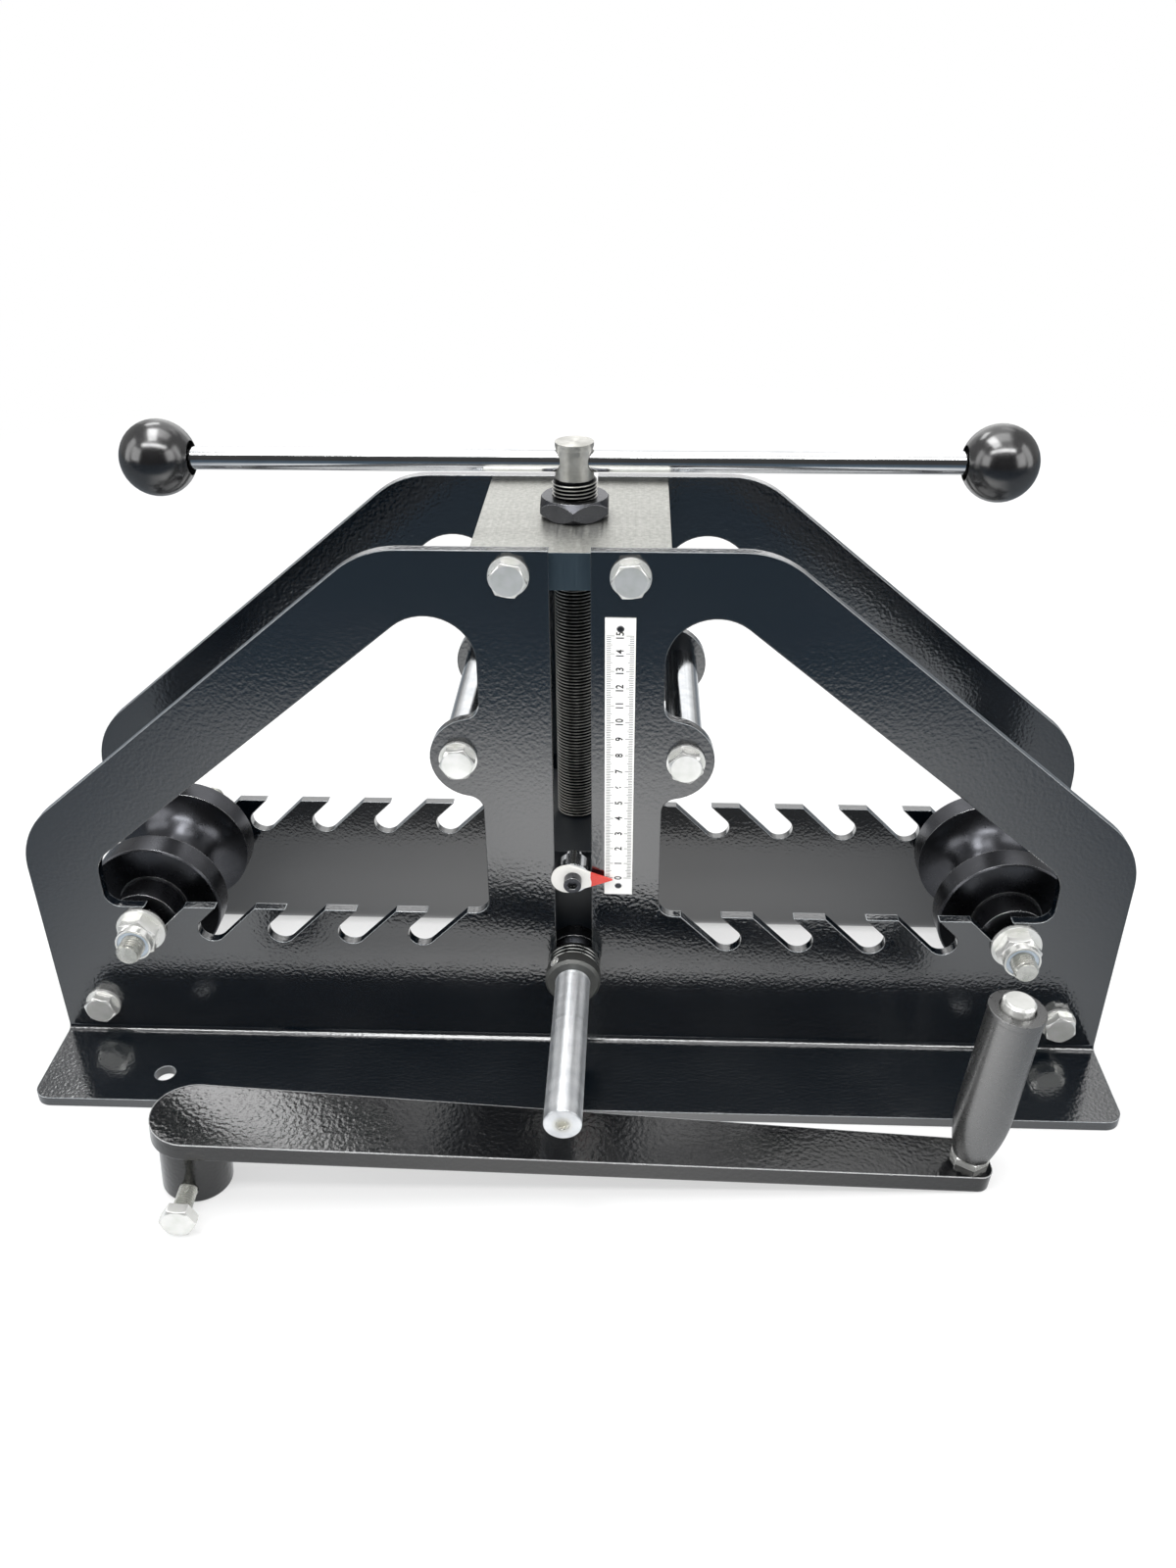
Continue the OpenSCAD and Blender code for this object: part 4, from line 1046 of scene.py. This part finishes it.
@dataclass
class Crank:
    """The crank that lies in front: arm, boss with its clamp bolt, and the turning grip on its own bolt."""

    clamp_r_mm: float = 5.0
    clamp_pitch_mm: float = 1.5
    clamp_around: int = 40
    head_over_mm: float = 0.5

    def build(self) -> None:
        """Dresses the crank and cuts the clamp bolt's thread."""
        dress(CRANK_COAT, "crank_arm", "crank_boss")
        dress(GRIP_PLASTIC, "crank_grip")
        dress(ZINC, "grip_bolt", "grip_nut")
        seat = self.clamp_frame()
        inward = seat.inverted()
        local = read_mesh(frame["nodes"]["clamp_bolt"].data).placed(inward)
        far = np.hypot(local.points[:, 0], local.points[:, 1]) > (self.clamp_r_mm + self.head_over_mm) * MM
        neck = local.points[far, 2].min()
        start = neck - SLACK_MM * MM
        head = copied("clamp_bolt", lambda points: Surface(points, []).placed(inward).points[:, 2] >= start)
        cut = thread(self.clamp_r_mm * MM, self.clamp_pitch_mm * MM, local.points[:, 2].min(), neck,
                     self.clamp_around).placed(seat)
        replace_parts(add_piece("clamp_bolt_head", head, ZINC, "clamp_bolt"), "clamp_bolt")
        helix = add_piece("clamp_bolt_thread", cut, ZINC_THREAD, "clamp_bolt")
        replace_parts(helix, "clamp_bolt")

    def clamp_frame(self) -> Matrix:
        """Finds the clamp bolt's own frame from its joint's axis and its CAD node.

        Returns:
            A frame with Z along the bolt, out of the boss, and its origin on the bolt's line.
        """
        axis = next(joint["axis"] for joint in frame["joints"] if joint["name"] == "clamp_bolt_screw")
        turn = Vector((0, 0, 1)).rotation_difference(Vector(axis)).to_matrix().to_4x4()
        local = read_mesh(frame["nodes"]["clamp_bolt"].data).placed(turn.inverted())
        middle = (local.points.min(axis=0) + local.points.max(axis=0)) / 2
        return turn @ Matrix.Translation((middle[0], middle[1], 0))


# Studio

@dataclass(frozen=True)
class Softbox:
    """An area lamp, placed and aimed in millimetres, as bright as its face is to look at."""

    name: str
    place_mm: tuple[float, float, float]
    aim_mm: tuple[float, float, float]
    width_mm: float
    height_mm: float
    brightness: float
    mirrored: bool = True

    def build(self) -> None:
        """Hangs the lamp: its power is brightness times pi times its area."""
        lamp = bpy.data.lights.new(self.name, "AREA")
        lamp.shape = "RECTANGLE"
        lamp.size = self.width_mm * MM
        lamp.size_y = self.height_mm * MM
        lamp.energy = self.brightness * math.pi * lamp.size * lamp.size_y
        holder = bpy.data.objects.new(self.name, lamp)
        bpy.context.scene.collection.objects.link(holder)
        place = Vector(self.place_mm) * MM
        holder.location = place
        holder.rotation_euler = (Vector(self.aim_mm) * MM - place).to_track_quat("-Z", "Y").to_euler()
        holder.visible_glossy = self.mirrored
        holder.visible_camera = False


@dataclass
class Studio:
    """White floor and surround, soft lamps, and a camera that stands where the photograph was taken."""

    # Camera, fitted to the perspective of the photograph
    camera_mm: tuple[float, float, float] = (32.55, -669.5, 550.08)
    yaw_deg: float = 2.252
    pitch_deg: float = 30.791
    roll_deg: float = -0.287
    lens_mm: float = 29.71
    sensor_mm: float = 36.0
    clip_near_mm: float = 10.0
    clip_far_mm: float = 50000.0
    # Floor, and where mirrors see it go dark in front and at the sides
    floor_mm: float = 9000.0
    floor_drop_mm: float = 0.2
    floor_grey: float = 0.9
    floor_near_mm: float = -330.0
    floor_far_mm: float = -590.0
    floor_side_from_mm: float = 50.0
    floor_side_mm: float = 420.0
    floor_side_most: float = 0.85
    far_tone: str = "#4a5661"
    # Glow of the floor, which is less near the middle so that shadows stay
    glow_near: float = 0.55
    glow_from_mm: float = 600.0
    glow_to_mm: float = 1600.0
    # Rise of a ray over which the sky lightens, and its sideways reach where mirrors see the sky dimmer
    sky_low: float = -0.25
    sky_high: float = 0.65
    sky_least: float = 0.05
    flank_from: float = 0.28
    flank_to: float = 0.42
    flank_most: float = 0.65
    # Lamps: place, aim, width, height and brightness
    lamps: tuple[Softbox, ...] = (
        Softbox("overhead", (0, 150, 1500), (0, 0, 150), 1100, 600, 1.6),
        Softbox("top", (-290, -60, 1500), (0, 0, 150), 900, 440, 6.0),
        Softbox("key", (0, -950, 1650), (0, 0, 150), 2200, 250, 9.0),
        Softbox("behind", (0, 1700, 900), (0, 0, 150), 2600, 900, 0.4),
        Softbox("behind left", (-880, 1700, 2130), (0, 0, 150), 900, 500, 4.4),
        Softbox("behind right", (900, 1700, 2130), (0, 0, 150), 900, 500, 0.6),
        Softbox("fill", (0, -1600, 750), (0, 0, 150), 1600, 700, 1.0, mirrored=False),
        Softbox("left", (-1500, -200, 800), (-100, 0, 150), 500, 1200, 1.8),
        Softbox("right", (1500, -200, 800), (100, 0, 150), 500, 1200, 1.8),
        Softbox("front left", (-2000, -1400, 1100), (0, 0, 150), 1200, 1400, 2.2),
        Softbox("front right", (2000, -1400, 1100), (0, 0, 150), 1200, 1400, 2.2),
    )

    def build(self) -> None:
        """Sets up floor, surround, lamps and camera."""
        bpy.context.scene.view_settings.view_transform = "Standard"
        self.lay_floor()
        self.light_surround()
        for lamp in self.lamps:
            lamp.build()
        self.stand_camera()

    def lay_floor(self) -> None:
        """Lays a pale floor that keeps shadows, and that mirrors show as dark where it runs far in front."""
        mesh = bpy.data.meshes.new("floor")
        half = self.floor_mm * MM / 2
        corners = [(-half, -half, 0), (half, -half, 0), (half, half, 0), (-half, half, 0)]
        mesh.from_pydata(corners, [], [(0, 1, 2, 3)])
        floor = bpy.data.objects.new("floor", mesh)
        floor.location.z = -self.floor_drop_mm * MM
        bpy.context.scene.collection.objects.link(floor)
        paint = bpy.data.materials.new("white studio floor")
        paint.use_nodes = True
        tree = paint.node_tree
        tree.nodes.clear()
        path = add_node(tree, "ShaderNodeLightPath")
        coords = add_node(tree, "ShaderNodeTexCoord")
        along = add_node(tree, "ShaderNodeSeparateXYZ", {"Vector": coords.outputs["Object"]})
        front = add_node(tree, "ShaderNodeMapRange", {
            "Value": along.outputs["Y"], "From Min": self.floor_near_mm * MM,
            "From Max": self.floor_far_mm * MM}, interpolation_type="SMOOTHSTEP")
        across = add_node(tree, "ShaderNodeMath", {0: along.outputs["X"]}, operation="ABSOLUTE")
        side = add_node(tree, "ShaderNodeMapRange", {
            "Value": across.outputs["Value"], "From Min": self.floor_side_from_mm * MM,
            "From Max": self.floor_side_mm * MM, "To Min": 0.0, "To Max": self.floor_side_most})
        most = add_node(tree, "ShaderNodeMath", {
            0: front.outputs["Result"], 1: side.outputs["Result"]}, operation="MAXIMUM")
        dim = add_node(tree, "ShaderNodeMath", {
            0: most.outputs["Value"], 1: path.outputs["Is Glossy Ray"]}, operation="MULTIPLY")
        pale = (self.floor_grey, self.floor_grey, self.floor_grey, 1)
        tone = add_node(tree, "ShaderNodeMix", {
            MIX_SHARE: dim.outputs["Value"], MIX_A: pale, MIX_B: linear(self.far_tone)}, data_type="RGBA")
        glow = add_node(tree, "ShaderNodeMix", {
            MIX_SHARE: dim.outputs["Value"], MIX_A: (1, 1, 1, 1), MIX_B: linear(self.far_tone)},
            data_type="RGBA")
        matt = add_node(tree, "ShaderNodeBsdfDiffuse", {"Color": tone.outputs[MIX_OUT]})
        white = add_node(tree, "ShaderNodeEmission", {"Color": glow.outputs[MIX_OUT], "Strength": 1.0})
        seen = add_node(tree, "ShaderNodeMath", {
            0: path.outputs["Is Camera Ray"], 1: path.outputs["Is Glossy Ray"]}, operation="MAXIMUM")
        shown = add_node(tree, "ShaderNodeMath", {
            0: seen.outputs["Value"], 1: path.outputs["Is Transmission Ray"]}, operation="MAXIMUM")
        away = add_node(tree, "ShaderNodeVectorMath", {0: coords.outputs["Object"]}, operation="LENGTH")
        lit = add_node(tree, "ShaderNodeMapRange", {
            "Value": away.outputs["Value"], "From Min": self.glow_from_mm * MM,
            "From Max": self.glow_to_mm * MM, "To Min": self.glow_near, "To Max": 1.0})
        share = add_node(tree, "ShaderNodeMath", {
            0: shown.outputs["Value"], 1: lit.outputs["Result"]}, operation="MULTIPLY")
        mixed = add_node(tree, "ShaderNodeMixShader", {
            0: share.outputs["Value"], 1: matt.outputs["BSDF"], 2: white.outputs["Emission"]})
        add_node(tree, "ShaderNodeOutputMaterial", {"Surface": mixed.outputs["Shader"]})
        mesh.materials.append(paint)

    def light_surround(self) -> None:
        """Lights from a white sky that darkens low in front.

        Mirrors see it darker at the sides too, and the camera sees plain white.
        """
        world = bpy.data.worlds.new("studio surround")
        bpy.context.scene.world = world
        world.use_nodes = True
        tree = world.node_tree
        tree.nodes.clear()
        path = add_node(tree, "ShaderNodeLightPath")
        coords = add_node(tree, "ShaderNodeTexCoord")
        look = add_node(tree, "ShaderNodeSeparateXYZ", {"Vector": coords.outputs["Generated"]})
        height = add_node(tree, "ShaderNodeMath", {
            0: look.outputs["Z"], 1: look.outputs["Y"]}, operation="ADD")
        sky = add_node(tree, "ShaderNodeMapRange", {
            "Value": height.outputs["Value"], "From Min": self.sky_low, "From Max": self.sky_high,
            "To Min": self.sky_least, "To Max": 1.0}, interpolation_type="SMOOTHSTEP")
        across = add_node(tree, "ShaderNodeMath", {0: look.outputs["X"]}, operation="ABSOLUTE")
        flank = add_node(tree, "ShaderNodeMapRange", {
            "Value": across.outputs["Value"], "From Min": self.flank_from, "From Max": self.flank_to,
            "To Min": 0.0, "To Max": self.flank_most})
        hidden = add_node(tree, "ShaderNodeMath", {
            0: flank.outputs["Result"], 1: path.outputs["Is Glossy Ray"]}, operation="MULTIPLY")
        kept = add_node(tree, "ShaderNodeMath", {0: 1.0, 1: hidden.outputs["Value"]}, operation="SUBTRACT")
        shown = add_node(tree, "ShaderNodeMath", {
            0: sky.outputs["Result"], 1: kept.outputs["Value"]}, operation="MULTIPLY")
        strength = add_node(tree, "ShaderNodeMix", {
            MIX_SHARE: path.outputs["Is Camera Ray"], MIX_LEVEL_A: shown.outputs["Value"], MIX_LEVEL_B: 1.0},
            data_type="FLOAT")
        back = add_node(tree, "ShaderNodeBackground", {
            "Color": (1, 1, 1, 1), "Strength": strength.outputs[MIX_LEVEL_OUT]})
        add_node(tree, "ShaderNodeOutputWorld", {"Surface": back.outputs["Background"]})

    def stand_camera(self) -> None:
        """Places the camera: turned about Z, then pitched down from level, then rolled about its own line."""
        lens = bpy.data.cameras.new("photo camera")
        lens.lens = self.lens_mm
        lens.sensor_width = self.sensor_mm
        lens.clip_start = self.clip_near_mm * MM
        lens.clip_end = self.clip_far_mm * MM
        camera = bpy.data.objects.new("photo camera", lens)
        bpy.context.scene.collection.objects.link(camera)
        camera.matrix_world = (
            Matrix.Translation(Vector(self.camera_mm) * MM)
            @ Matrix.Rotation(math.radians(self.yaw_deg), 4, "Z")
            @ Matrix.Rotation(math.radians(90 - self.pitch_deg), 4, "X")
            @ Matrix.Rotation(math.radians(self.roll_deg), 4, "Z"))
        bpy.context.scene.camera = camera


def main() -> None:
    """Builds the sub-assemblies and the studio in order."""
    logging.basicConfig(level=logging.INFO, format="%(message)s")
    assemblies = (SidePlates(), ScaleRule(), FreeRollers(), Carriage(), DriveShaft(), PressScrew(), Crank())
    for part in (*assemblies, Studio()):
        log.info("building %s", type(part).__name__)
        part.build()


if __name__ == "__main__":
    main()
